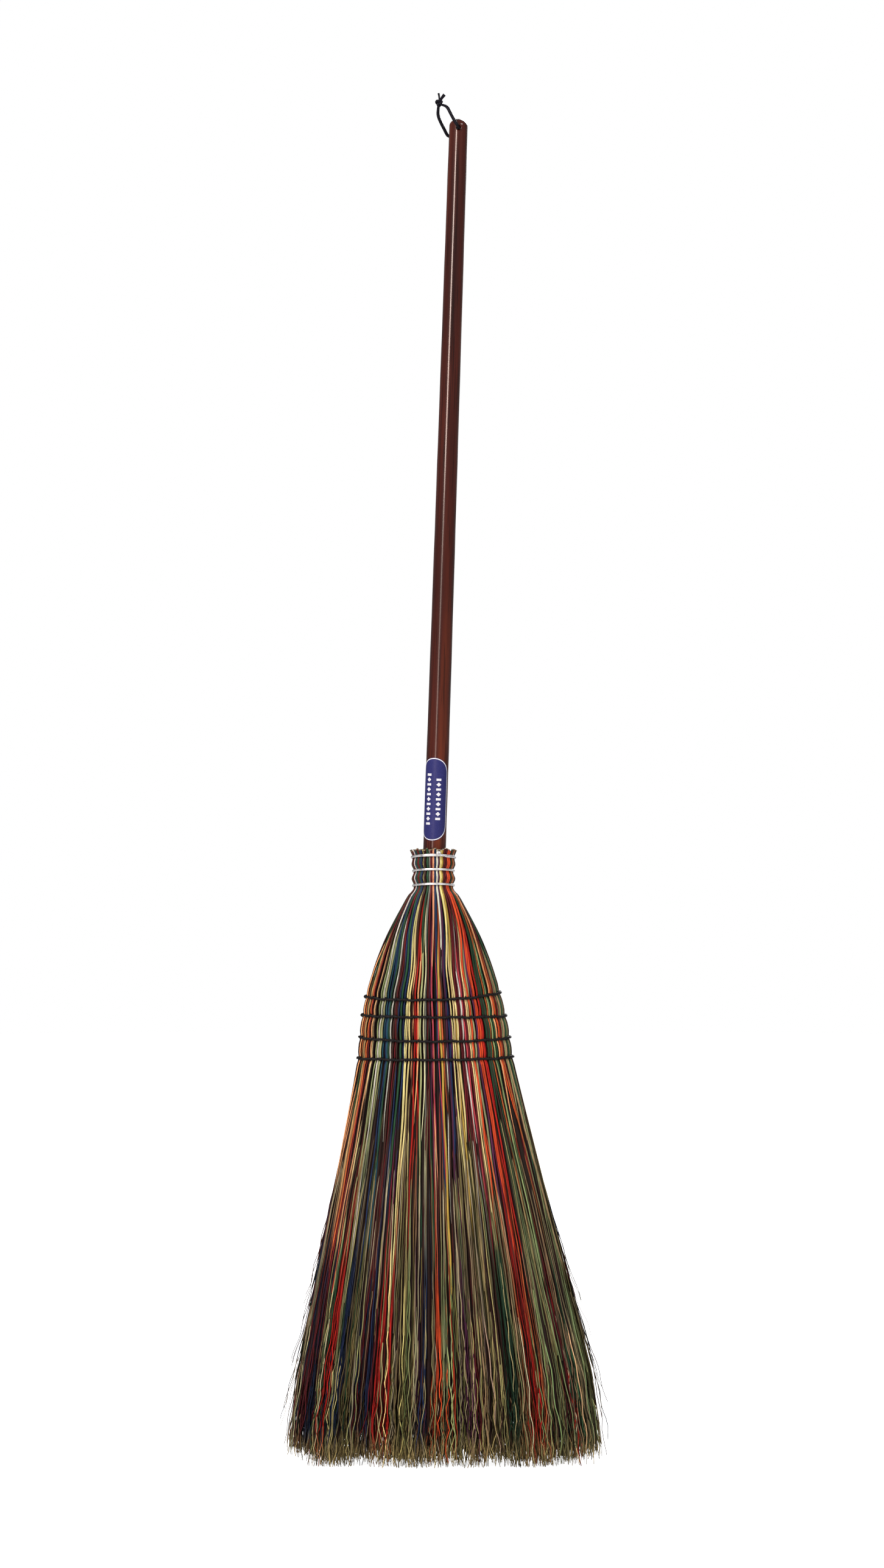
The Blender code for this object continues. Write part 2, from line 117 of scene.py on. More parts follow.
# Collar
COLLAR_TOP = 0.6535
STUB_RADIUS = 0.0250
BULGE_RADIUS = 0.0236
COLLAR_TILT = 0.0025  # the front of the collar sits this much higher than its sides
BANDS = {"top": (0.6455, 0.02225), "middle": (0.6310, 0.02085), "bottom": (0.6155, 0.02085)}
BAND_STARTS = {"top": radians(305), "middle": radians(75), "bottom": radians(100)}
BAND_TURNS = 2.12
BAND_STEPS = 160
WIRE_RADIUS = 0.0008
WIRE_GAP = 0.0003
TUCK_DEPTH = 0.0022  # how far a wire's end is turned down into the corn
TUCK_ANGLE = 0.16
SPREAD_AT = radians(262)  # where the two turns of a band stand furthest apart
SPREAD_ANGLE = 0.55
SPREADS = {"top": 0.9, "middle": 0.25, "bottom": 0.25}
NAIL_ANGLE = radians(283)
NAIL_SEAT = 0.0249  # radius of the collar under the nail's head
NAIL_PROFILE = [  # radius and distance out from the seat
    (0.0001, -0.0185), (0.0009, -0.0165), (0.0009, -0.0002), (0.0022, 0.0), (0.0024, 0.0003),
    (0.0024, 0.0007), (0.0021, 0.0010), (0.0012, 0.00115), (0.0003, 0.0012),
]

# Head: half widths and half thicknesses at heights, as the CAD has them
WIDTHS = [
    (0.000, 0.1700), (0.032, 0.1680), (0.097, 0.1580), (0.226, 0.1295), (0.395, 0.0910),
    (0.429, 0.0835), (0.465, 0.0795), (0.500, 0.0725), (0.534, 0.0620), (0.560, 0.0515),
    (0.582, 0.0400), (0.598, 0.0310), (0.606, 0.0265), (0.613, 0.0230),
]
THICKNESSES = [
    (0.000, 0.0340), (0.097, 0.0315), (0.226, 0.0260), (0.395, 0.0185), (0.429, 0.0170),
    (0.465, 0.0170), (0.500, 0.0180), (0.534, 0.0200), (0.582, 0.0238), (0.606, 0.0245),
    (0.613, 0.0230),
]
COLLAR_STATIONS = [
    (0.6136, 0.02085), (0.6174, 0.02085), (0.6230, BULGE_RADIUS), (0.6291, 0.02085),
    (0.6329, 0.02085), (0.6380, BULGE_RADIUS), (0.6436, 0.02225), (0.6474, 0.02225),
    (COLLAR_TOP, STUB_RADIUS),
]
CENTRES = [(0.0, 0.0), (0.1, 0.0), (0.5, NECK_X), (0.7, NECK_X)]
SQUARENESS = [(0.0, 2.5), (0.500, 2.5), (0.620, 2.0)]
COLLAR_BLEND = (0.603, 0.614)  # the flat head turns into the round collar between these
NECK_LOW = 0.615
SHOULDER_LOW = 0.520
WIDEST = 0.1765  # no stray fibre reaches further to a side

# Sewing: the heights of each row at its left, middle and right
STITCH_ROWS = [
    (0.4972, 0.4948, 0.5020), (0.4776, 0.4762, 0.4770), (0.4542, 0.4505, 0.4540),
    (0.4320, 0.4310, 0.4334),
]
PINCH_DEPTH = 0.0012
PINCH_REACH = 0.0045
TWINE_RADIUS = 0.0014
TWINE_LAY = 0.0075  # length of twine in half a twist
STITCH_PITCH = 0.0125
STITCH_THREAD = 0.00072
STITCH_SLANT = 0.0012
STITCH_HALF_HEIGHT = 0.0016
STITCH_ARCH = 0.0025  # how far a stitch stands out over the twine
STITCH_SINK = 0.0004
STITCH_STEPS = 12
WRAP_POINTS = 330

# Dyes of the corn, as seen colours from 0 to 255
DYES = {
    "straw": (224, 208, 140), "cream": (236, 222, 178), "white": (216, 214, 200),
    "peach": (224, 164, 114), "orange": (218, 78, 38), "rust": (182, 92, 48),
    "red": (176, 30, 22), "rose": (184, 66, 78), "maroon": (96, 20, 28), "plum": (78, 34, 64),
    "navy": (26, 44, 80), "teal": (34, 78, 92), "forest": (38, 76, 50), "sage": (148, 160, 110),
    "olive": (138, 130, 78), "khaki": (168, 146, 108), "brown": (62, 36, 30),
    "grey": (118, 116, 104), "mustard": (200, 158, 70),
}
# The front's stalks at the sewing, left to right. The starred ones are outermost in the collar.
FRONT_DYES = """
    rust brown* peach rust forest* peach rust maroon* peach straw brown* sage sage white* sage teal
    navy* teal forest* white brown maroon* brown navy forest* navy navy* straw straw straw peach
    brown* red red peach forest* sage cream grey* forest maroon* plum rose peach* rose navy*
    mustard rust white* brown plum* navy plum straw* straw mustard* straw maroon maroon* white rose
    maroon* straw straw orange* sage plum orange* orange red red forest* brown forest rust* sage
    forest peach* orange rust maroon* sage khaki forest* sage khaki brown*
""".split()
# The front's stems and fibres at the foot, left to right
FOOT_DYES = """
    navy maroon navy maroon navy navy red forest navy navy forest olive navy navy maroon straw
    red red olive straw khaki olive khaki plum navy khaki brown orange orange sage olive plum
    plum maroon khaki khaki straw straw brown forest forest khaki rust red red rust khaki sage
    sage maroon red forest khaki sage olive khaki
""".split()
# Colours of the undyed stems and of the stray fibres
NATURAL_DYES = ["straw", "olive", "khaki", "cream", "sage", "cream"]
STRAY_DYES = ["navy", "forest", "brown", "khaki", "maroon"]

# CAD bundles of corn: degrees that an edge reaches, then names from the right edge round
FRONTS = [f"hurl_front_{i}" for i in range(1, 7)]
BACKS = [f"hurl_back_{i}" for i in range(1, 7)]
COVER = (20, "hurl_edge_right", BACKS, "hurl_edge_left", FRONTS)
INNER = (20 + 140 / 6, "shoulder_right", ["insides_back"], "shoulder_left", ["insides_front"])

# Stalks, stems and fibres. Pairs are the least and the most of what is drawn.
GROOVE_SHADE = 0.26  # painted shade: how light a strand's sides are painted against its outer face
CELL_ACROSS = (0.12, 0.88)  # the part of its cell in the layout that a strand fills
CELL_ALONG = (0.08, 0.92)
STALK_ENDS = (0.12, 0.36)
STALK_HALF_WIDTHS = (0.00062, 0.00125)
NECK_HALF_WIDTHS = (0.00105, 0.00145)
LAYER_DEPTH = 0.0026  # from one layer of stalks in the collar to the next
LAYER_DROP = 0.0012
LOOSE_BELOW = 0.42  # the corn is free under this height
STEMS_PER_STALK = 4
STEM_RINGS = 26
STEM_STARTS = (0.37, 0.46)
STEM_ENDS = (0.05, 0.20)
STEM_HALF_WIDTHS = (0.00050, 0.00092)
NATURAL_STEMS = 0.22  # share of the stems that are undyed
NATURAL_STARTS = (0.31, 0.43)
FIBRES_PER_STEM = 4
FIBRE_RINGS = 18
FIBRE_TOP = 0.34
BOLD_FIBRES = 0.62  # share of the stems whose first fibre is bold
BOLD_HALF_WIDTHS = (0.00060, 0.00086)
FINE_HALF_WIDTHS = (0.00036, 0.00062)
SHORT_FIBRES = 0.08  # share of the fibres that end above the foot
LOWEST_TIP = 0.0004
RIPE_BLEND = (-0.040, -0.004)  # minus the heights between which the tips turn ripe
STRAYS_PER_EDGE = 11
STRAY_RINGS = 20
STRAY_HALF_WIDTHS = (0.00040, 0.00062)
FILLING = [(92, 0.648, 0.0046, 0.30), (60, 0.618, 0.0052, 0.62)]  # count, top, radius, depth share
INNER_FIBRES = 1500
INNER_RINGS = 14

# Light. Each lamp has its place, target, size, power and colour.
ROOM_LEVEL = 0.16
FLOOR_RADIUS = 7
FLOOR_LEVEL = -0.0005
WHITE = (1.0, 1.0, 1.0)
WARM = (1.0, 0.80, 0.70)
LIGHTS = [
    ("key", (-1.3, -2.1, 2.9), (0, 0, 0.5), (0.8, 0.8), 70, WHITE),
    ("fill", (1.8, -1.9, 2.7), (0, 0, 0.4), (1.0, 1.0), 26, WHITE),
    ("streak_top", (-1.25, -3.0, 1.95), (0, 0, 1.85), (0.62, 1.2), 48, WARM),
    ("streak_low", (-1.25, -3.0, 0.75), (0, 0, 0.80), (0.62, 1.0), 8.64, WARM),
    ("back", (0.9, 2.6, 2.6), (0, 0, 0.5), (1.2, 1.2), 150, WHITE),
]


# Materials

def linear(colour):
    """Seen colour, 0 to 255, as linear light."""
    values = np.asarray(colour, dtype=float) / 255
    return np.where(values <= 0.04045, values / 12.92, ((values + 0.055) / 1.055) ** 2.4)


def grey(level):
    return (level, level, level)


class Nodes:
    """Short way to write a node tree."""

    def __init__(self, name):
        self.material = bpy.data.materials.new(name)
        self.material.use_nodes = True
        self.tree = self.material.node_tree
        self.shader = self.tree.nodes["Principled BSDF"]

    def add(self, kind, inputs=None, **settings):
        node = self.tree.nodes.new(kind)
        for key, value in settings.items():
            setattr(node, key, value)
        for key, value in (inputs or {}).items():
            self.join(value, node.inputs[key])
        return node

    def join(self, value, socket):
        if isinstance(value, bpy.types.NodeSocket):
            self.tree.links.new(value, socket)
        else:
            socket.default_value = value

    def set(self, **inputs):
        for key, value in inputs.items():
            self.join(value, self.shader.inputs[key.replace("_", " ")])

    def coordinates(self, scale):
        place = self.add("ShaderNodeTexCoord").outputs["Object"]
        return self.add("ShaderNodeMapping", {"Vector": place, "Scale": scale}).outputs[0]

    def noise(self, scale, stretch=(1, 1, 1), detail=4.0, roughness=0.55):
        where = self.coordinates(stretch)
        return self.add("ShaderNodeTexNoise", {
            "Vector": where, "Scale": scale, "Detail": detail, "Roughness": roughness}).outputs[0]

    def ramp(self, factor, stops):
        node = self.add("ShaderNodeValToRGB", {"Fac": factor})
        while len(node.color_ramp.elements) < len(stops):
            node.color_ramp.elements.new(0.5)
        for element, (position, colour) in zip(node.color_ramp.elements, stops):
            element.position = position
            element.color = (*colour, 1.0)
        return node.outputs[0]

    def mix(self, factor, first, second, blend="MIX"):
        node = self.add("ShaderNodeMix", data_type="RGBA", blend_type=blend)
        self.join(factor, node.inputs["Factor"])
        self.join(first, node.inputs[6])
        self.join(second, node.inputs[7])
        return node.outputs[2]

    def darken(self, amount, colour, factor, stops):
        """The colour times a ramp over factor, by this amount."""
        return self.mix(amount, colour, self.ramp(factor, stops), "MULTIPLY")

    def range(self, value, low, high):
        inputs = {"Value": value, "To Min": low, "To Max": high}
        return self.add("ShaderNodeMapRange", inputs).outputs[0]

    def bump(self, height, distance, strength=1.0):
        normal = self.add("ShaderNodeBump", {
            "Height": height, "Distance": distance, "Strength": strength}).outputs[0]
        self.set(Normal=normal)


def varnished_wood():
    """Dark red-brown stain over open grain, under a thick glossy varnish."""
    m = Nodes("varnished_wood")
    grain = m.noise(55, (1, 1, 0.035), detail=6.0)
    figure = m.noise(9, (1, 1, 0.12), detail=3.0)
    pores = m.noise(420, (1, 1, 0.03), detail=2.0)
    stain = m.ramp(grain, [(0.30, (0.024, 0.0034, 0.0028)), (0.52, (0.078, 0.0112, 0.0066)),
                           (0.72, (0.165, 0.0300, 0.0125))])
    stain = m.darken(0.75, stain, figure, [(0.36, grey(0.34)), (0.64, (1.45, 1.75, 1.40))])
    stain = m.darken(0.8, stain, pores, [(0.36, grey(0.35)), (0.46, grey(1.0))])
    m.set(Base_Color=stain, Roughness=m.range(figure, 0.42, 0.56), Specular_IOR_Level=0.08)
    m.set(Coat_Weight=1.0, Coat_Roughness=0.14, Coat_IOR=1.5)
    m.bump(m.mix(0.5, pores, grain), 0.00001, 0.3)
    return m.material


def label_paper():
    """Blue printed paper with a fine white line set in from its edge."""
    m = Nodes("label_paper")
    edge = m.add("ShaderNodeAttribute", attribute_name="EdgeDistance").outputs["Fac"]
    fibres = m.noise(900, detail=3.0)
    ink = m.ramp(fibres, [(0.3, (0.022, 0.024, 0.120)), (0.7, (0.034, 0.036, 0.165))])
    line = m.ramp(edge, [(0.0, grey(0)), (0.05, grey(0)), (0.07, grey(1)), (0.21, grey(1)),
                         (0.23, grey(0))])
    m.set(Base_Color=m.mix(line, ink, (0.78, 0.80, 0.86, 1.0)))
    m.set(Roughness=m.range(fibres, 0.34, 0.50), Specular_IOR_Level=0.22)
    m.bump(fibres, 0.00003, 0.4)
    return m.material


def label_white():
    m = Nodes("label_white")
    fibres = m.noise(900, detail=3.0)
    m.set(Base_Color=m.ramp(fibres, [(0.3, (0.66, 0.68, 0.74)), (0.7, (0.82, 0.84, 0.88))]))
    m.set(Roughness=0.45)
    return m.material


def mottled(name, scale, detail, stops, roughness, bump, **settings):
    """A surface whose colour, roughness and bump follow one fine noise."""
    m = Nodes(name)
    spots = m.noise(scale, detail=detail)
    m.set(Base_Color=m.ramp(spots, stops), Roughness=m.range(spots, *roughness), **settings)
    m.bump(spots, *bump)
    return m.material


def steel_wire():
    """Tinned wire: bright, with drawing marks and dull spots."""
    stops = [(0.30, grey(0.50)), (0.46, (0.84, 0.84, 0.86)), (0.7, grey(0.94))]
    return mottled("steel_wire", 260, 5.0, stops, (0.28, 0.52), (0.00004, 0.4), Metallic=0.9)


def broomcorn(name, shade, roughness):
    """Plant stalk: the dye and painted shade held by each point, broken up by streaks that run
    down the stalk. A shade under 1 paints the whole stalk darker, as painted shade.
    """
    m = Nodes(name)
    dye = m.add("ShaderNodeAttribute", attribute_name="DyeAndPaintedShade").outputs["Color"]
    streaks = m.noise(900, (1, 1, 0.02), detail=3.0)
    blotches = m.noise(60, (1, 1, 0.25), detail=4.0)
    colour = m.darken(1.0, dye, streaks, [(0.30, grey(0.62 * shade)), (0.62, grey(1.12 * shade))])
    colour = m.darken(1.0, colour, blotches, [(0.32, grey(0.74)), (0.60, grey(1.08))])
    m.set(Base_Color=colour, Roughness=m.range(blotches, roughness - 0.10, roughness + 0.12))
    m.set(Specular_IOR_Level=0.22)
    m.bump(streaks, 0.00012, 0.5)
    return m.material


def waxed_twine():
    stops = [(0.35, (0.003, 0.0025, 0.003)), (0.75, (0.013, 0.010, 0.011))]
    return mottled("waxed_twine", 1500, 4.0, stops, (0.50, 0.72), (0.00010, 0.6),
                   Specular_IOR_Level=0.2)


def black_leather():
    m = Nodes("black_leather")
    where = m.coordinates((1, 1, 1))
    pebbles = m.add("ShaderNodeTexVoronoi", {"Vector": where, "Scale": 1400.0}).outputs["Distance"]
    wear = m.noise(180, detail=5.0)
    m.set(Base_Color=m.ramp(wear, [(0.35, (0.002, 0.002, 0.005)), (0.72, (0.009, 0.008, 0.014))]))
    m.set(Roughness=m.range(wear, 0.42, 0.66), Specular_IOR_Level=0.14)
    m.bump(pebbles, 0.00015, 0.5)
    return m.material


MATERIALS = {
    "varnished_wood": varnished_wood(), "label_paper": label_paper(), "label_white": label_white(),
    "steel_wire": steel_wire(), "dyed_broomcorn": broomcorn("dyed_broomcorn", 1.0, 0.50),
    # The inner corn is painted at 0.8 of its colour, as painted shade inside the head.
    "inner_broomcorn": broomcorn("inner_broomcorn", 0.8, 0.65), "waxed_twine": waxed_twine(),
    "leather_lace": black_leather(),
}


# Mesh helpers

def new_object(name, data):
    piece = bpy.data.objects.new(name, data)
    bpy.context.scene.collection.objects.link(piece)
    return piece


def link(name, mesh, material, body="broom", replaces=()):
    """Puts a mesh in the scene, riding on its body and standing for its CAD nodes."""
    piece = new_object(name, mesh)
    mesh.materials.append(MATERIALS[material])
    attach(piece, body)
    if replaces:
        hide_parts(*replaces)
    return piece


def smooth_mesh(name, vertices, faces, sharp):
    """A mesh shaded smooth but for edges sharper than this many degrees."""
    mesh = bpy.data.meshes.new(name)
    mesh.from_pydata(vertices, [], faces)
    mesh.shade_smooth()
    mesh.set_sharp_from_angle(angle=radians(sharp))
    return mesh


def path_length(points):
    return sum((q - p).length for p, q in zip(points, points[1:]))


def smooth_route(points, step):
    """Points about a step apart on a smooth curve through the route's own points."""
    points = [Vector(point) for point in points]
    ends = [points[0] * 2 - points[1]] + points + [points[-1] * 2 - points[-2]]
    fine = []
    for a, b, c, d in zip(ends, ends[1:], ends[2:], ends[3:]):
        for i in range(16):
            t = i / 16
            fine.append(0.5 * (2 * b + (c - a) * t + (2 * a - 5 * b + 4 * c - d) * t ** 2
                               + (3 * b - a - 3 * c + d) * t ** 3))
    fine.append(points[-1])
    return even_points(fine, step)


def even_points(fine, step):
    length = path_length(fine)
    spacing = length / max(1, round(length / step))
    route = [fine[0]]
    walked = 0.0
    for p, q in zip(fine, fine[1:]):
        reach = (q - p).length
        while walked + reach >= spacing * len(route) - 1e-9 and reach > 0:
            route.append(p.lerp(q, (spacing * len(route) - walked) / reach))
        walked += reach
    return route


def frames_along(points, closed=False):
    """(tangent, side, other side) at each point, turning no more than the path does."""
    count = len(points)
    tangents = []
    for i in range(count):
        ahead = points[(i + 1) % count] if closed else points[min(i + 1, count - 1)]
        behind = points[i - 1] if closed else points[max(i - 1, 0)]
        tangents.append((ahead - behind).normalized())
    side = tangents[0].orthogonal().normalized()
    frames = []
    for i, tangent in enumerate(tangents):
        if i:
            side = tangents[i - 1].rotation_difference(tangent) @ side
        side = (side - tangent * side.dot(tangent)).normalized()
        frames.append((tangent, side, tangent.cross(side)))
    return frames


def ring_faces(count, sides, first=0, closed=False):
    """Faces of a tube of count rings, with a cap at each end unless it closes on itself."""
    faces = [] if closed else [[first + k for k in reversed(range(sides))]]
    for i in range(count if closed else count - 1):
        low = first + i * sides
        high = first + ((i + 1) % count) * sides
        for k in range(sides):
            j = (k + 1) % sides
            faces.append((low + k, low + j, high + j, high + k))
    if not closed:
        faces.append([first + (count - 1) * sides + k for k in range(sides)])
    return faces


def swept(name, runs, sides, closed=False):
    """One mesh of swept tubes. Each run is (points, section), and section(i, angle) gives the two
    offsets of a ring's point."""
    vertices = []
    faces = []
    for points, section in runs:
        faces += ring_faces(len(points), sides, len(vertices), closed)
        for i, (point, (_, side, other)) in enumerate(zip(points, frames_along(points, closed))):
            for k in range(sides):
                u, v = section(i, tau * k / sides)
                vertices.append(point + side * u + other * v)
    return smooth_mesh(name, vertices, faces, 60)


def turned(name, profile, sides, sharp, lump=lambda angle: 1.0):
    """A closed mesh turned round Z from (radius, height) pairs."""
    vertices = []
    for radius, height in profile:
        for k in range(sides):
            angle = tau * k / sides
            reach = radius * lump(angle)
            vertices.append((reach * cos(angle), reach * sin(angle), height))
    return smooth_mesh(name, vertices, ring_faces(len(profile), sides), sharp)


def oval_section(half_width, half_thickness):
    return lambda i, angle: (half_width * cos(angle), half_thickness * sin(angle))


def join_meshes(name, meshes):
    vertices = []
    faces = []
    for mesh in meshes:
        first = len(vertices)
        vertices += [vertex.co.copy() for vertex in mesh.vertices]
        faces += [[first + index for index in polygon.vertices] for polygon in mesh.polygons]
        bpy.data.meshes.remove(mesh)
    return smooth_mesh(name, vertices, faces, 40)


# Camera

def add_camera():
    data = bpy.data.cameras.new("camera")
    data.sensor_fit = "VERTICAL"
    data.sensor_height = SENSOR
    data.lens = SENSOR * CAMERA_DISTANCE / PICTURE_HEIGHT
    data.clip_end = 50
    camera = new_object("camera", data)
    camera.location = (PICTURE_MIDDLE[0], -CAMERA_DISTANCE, PICTURE_MIDDLE[1])
    camera.rotation_euler = (pi / 2, 0, 0)
    bpy.context.scene.camera = camera


# Hanging lace

def lace_section(count):
    """A flat section with rounded edges, which twists slowly over the lace's count points."""
    def section(i, angle):
        twist = LACE_TWIST * sin(2.2 * i / count + 0.4)
        u = LACE_WIDTH / 2 * copysign(abs(cos(angle)) ** EDGE_ROUNDING, cos(angle))
        v = LACE_THICKNESS / 2 * copysign(abs(sin(angle)) ** EDGE_ROUNDING, sin(angle))
        return u * cos(twist) - v * sin(twist), u * sin(twist) + v * cos(twist)

    return section


def tail_section(half_width):
    """A flat section that widens a little towards the cut end."""
    def section(i, angle):
        return half_width * (0.8 + 0.05 * i) * cos(angle), TAIL_HALF_THICKNESS * sin(angle)

    return section


def add_knot():
    """An overhand knot, drawn tight."""
    curl = []
    for i in range(KNOT_STEPS):
        t = tau * i / KNOT_STEPS
        curl.append(HOLE + Vector(KNOT_CENTRE) + KNOT_SIZE * Vector((
            sin(t) + 1.7 * sin(2 * t), -1.15 * sin(3 * t), cos(t) - 1.7 * cos(2 * t))))
    mesh = swept("knot", [(curl, oval_section(*KNOT_STRAP))], 10, closed=True)
    return link("knot", mesh, "leather_lace", body="loop", replaces=["lace_knot"])


def add_tails():
    tails = []
    for end, bow, half_width in zip(TAIL_ENDS, TAIL_BOWS, TAIL_HALF_WIDTHS):
        path = []
        for i in range(TAIL_STEPS + 1):
            across = Vector(KNOT_CENTRE).lerp(Vector(end), i / TAIL_STEPS)
            path.append(HOLE + across + Vector(bow) * sin(pi * i / TAIL_STEPS))
        tails.append((path, tail_section(half_width)))
    return link("lace_tails", swept("lace_tails", tails, 10), "leather_lace", body="loop")


def add_lace():
    """A flat leather lace through the hole and up to its knot."""
    shown = [LACE_ENDS[0], *LACE_ROUTE, LACE_ENDS[1]]
    route = [HOLE + point for point in smooth_route(shown, LACE_STEP)]
    mesh = swept("lace", [(route, lace_section(len(route)))], 12)
    lace = link("lace", mesh, "leather_lace", body="loop", replaces=["hanging_lace"])
    knot = add_knot()
    ends = add_tails()


add_camera()
add_lace()


# Handle and label

def handle_radius(height):
    taper = max(0.0, height - TAPER_START) / (DOME_START - TAPER_START)
    return HANDLE_RADIUS + (HANDLE_TOP_RADIUS - HANDLE_RADIUS) * taper


def add_handle():
    """Turned wood, not quite even, with a domed top and a blunt end hidden in the head."""
    profile = [(0.0015, HANDLE_TIP), (0.008, HANDLE_TIP + 0.001), (HANDLE_RADIUS, HANDLE_TIP + 0.03)]
    heights = [-0.05 + (DOME_START + 0.02) * i / 35 for i in range(36)]
    heights += [DOME_START - 0.03 + 0.03 * i / 16 for i in range(1, 17)]
    for height in heights:
        wobble = 0.00006 * sin(height * 61) + 0.00004 * sin(height * 143 + 1)
        profile.append((handle_radius(height) + wobble, height))
    for i in range(1, 13):
        turn = radians(87) * i / 12
        profile.append((HANDLE_TOP_RADIUS * cos(turn), DOME_START + DOME_HEIGHT * sin(turn)))
    mesh = turned("handle_turned", profile, 72, 45)
    handle = link("handle_turned", mesh, "varnished_wood", replaces=["handle"])
    handle.matrix_world = HANDLE_AXIS
    drill(handle)


def drill(handle):
    """Bores the hanging hole with a slightly rounded mouth, and leaves no modifier behind."""
    profile = [(HOLE_RADIUS + 0.0016, -0.014), (HOLE_RADIUS + 0.0003, -0.0088), (HOLE_RADIUS, -0.0080)]
    profile += [(radius, -height) for radius, height in reversed(profile)]
    cutter = new_object("drill", turned("drill", profile, 32, 30))
    cutter.matrix_world = Matrix.Translation(HOLE) @ Matrix.Rotation(-pi / 2, 4, "X")
    bpy.context.view_layer.update()
    modifier = handle.modifiers.new("hole", "BOOLEAN")
    modifier.object = cutter
    modifier.solver = "EXACT"
    apply_modifiers(handle)
    bpy.data.objects.remove(cutter)


def apply_modifiers(piece):
    view = bpy.context.evaluated_depsgraph_get()
    mesh = bpy.data.meshes.new_from_object(piece.evaluated_get(view))
    old = piece.data
    piece.modifiers.clear()
    piece.data = mesh
    bpy.data.meshes.remove(old)


def patch_faces(rows, columns):
    """Faces of a thin closed sheet, whose outer points come first, row by row."""
    size = rows * columns
    faces = []
    for i in range(rows - 1):
        for k in range(columns - 1):
            low = i * columns + k
            high = low + columns
            faces.append((low, low + 1, high + 1, high))
            faces.append((size + low, size + high, size + high + 1, size + low + 1))
    border = list(range(columns - 1))
    border += [i * columns + columns - 1 for i in range(rows - 1)]
    border += [size - 1 - k for k in range(columns - 1)]
    border += [i * columns for i in range(rows - 1, 0, -1)]
    for a, b in zip(border, border[1:] + border[:1]):
        faces.append((b, a, size + a, size + b))
    return faces


def curved_patch(name, rows, thickness, lift):
    """A thin closed sheet that lies round the handle. Rows hold (angle, height) pairs."""
    vertices = []
    for offset in (lift + thickness, lift):
        for row in rows:
            for angle, height in row:
                radius = handle_radius(height) + offset
                vertices.append((radius * sin(angle), -radius * cos(angle), height))
    return smooth_mesh(name, vertices, patch_faces(len(rows), len(rows[0])), 40)


def label_rows(count=81, columns=49):
    """Straight sides between two round ends."""
    rows = []
    for i in range(count):
        row = []
        for k in range(columns):
            turn = radians(LABEL_SIDE_TURN * (2 * k / (columns - 1) - 1))
            rounding = LABEL_END * (1 - cos(turn))
            height = LABEL_LOW + rounding + (LABEL_HIGH - LABEL_LOW - 2 * rounding) * i / (count - 1)
            row.append((LABEL_MIDDLE + LABEL_HALF_TURN * sin(turn), height))
        rows.append(row)
    return rows


def edge_distance(angle, height):
    """How far in from the label's edge a point is, in shares of EDGE_REACH."""
    across = (angle - LABEL_MIDDLE) * HANDLE_RADIUS
    beyond = max(0.0, LABEL_LOW + LABEL_END - height, height - (LABEL_HIGH - LABEL_END))
    return (LABEL_END - (across ** 2 + beyond ** 2) ** 0.5) / EDGE_REACH


def add_label():
    rows = label_rows()
    mesh = curved_patch("label_sheet", rows, LABEL_THICKNESS, LABEL_LIFT)
    distances = [edge_distance(angle, height) for row in rows for angle, height in row]
    distance = mesh.attributes.new("EdgeDistance", "FLOAT", "POINT")
    distance.data.foreach_set("value", distances * 2)  # outer side, then inner
    label = link("label_sheet", mesh, "label_paper", replaces=["label"])
    label.matrix_world = HANDLE_AXIS


def mark_rows(turn, height, lozenge):
    steps = [-1 + i / 3 for i in range(7)]
    tall = LOZENGE_HALF_HEIGHT if lozenge else BAR_HALF_HEIGHT
    rows = []
    for v in steps:
        half = MARK_HALF_WIDTH / HANDLE_RADIUS * (max(0.08, 1 - abs(v)) if lozenge else 1.0)
        rows.append([(turn + half * u, height + v * tall) for u in steps])
    return rows


def add_ornament():
    """Plain bars and lozenges in turn, in lines up the label."""
    marks = []
    for line, (turn, count) in enumerate(MARK_LINES):
        for index in range(count):
            height = (LABEL_LOW + LABEL_HIGH) / 2 + (index - (count - 1) / 2) * MARK_PITCH
            rows = mark_rows(turn, height, lozenge=index % 2 == 1)
            marks.append(curved_patch(f"label_mark_{line}_{index}", rows, MARK_THICKNESS, MARK_LIFT))
    mesh = join_meshes("label_ornament", marks)
    ornament = link("label_ornament", mesh, "label_white")
    ornament.matrix_world = HANDLE_AXIS


add_handle()
add_label()
add_ornament()


# Collar wire and nail

def band_point(band, wound):
    """A point on a band's wire, this many turns from its start."""
    height, seat = BANDS[band]
    angle = BAND_STARTS[band] + tau * wound
    from_end = min(wound, BAND_TURNS - wound) * tau
    sink = TUCK_DEPTH * max(0.0, 1 - from_end / TUCK_ANGLE) ** 1.4
    radius = seat + WIRE_GAP + WIRE_RADIUS - sink
    from_front = (angle - SPREAD_AT + pi) % tau - pi
    apart = 1.03 + SPREADS[band] * np.exp(-(from_front / SPREAD_ANGLE) ** 2)
    z = height - COLLAR_TILT * sin(angle) + (wound / BAND_TURNS - 0.5) * 2 * WIRE_RADIUS * apart
    return Vector((NECK_X + radius * cos(angle), radius * sin(angle), z))


def add_bands():
    """Each band is one wire wound twice round, its ends turned down into the corn."""
    for band in BANDS:
        points = [band_point(band, BAND_TURNS * i / BAND_STEPS) for i in range(BAND_STEPS + 1)]
        mesh = swept(f"band_wire_{band}", [(points, oval_section(WIRE_RADIUS, WIRE_RADIUS))], 12)
        link(f"band_wire_{band}", mesh, "steel_wire", replaces=[f"wire_band_{band}"])


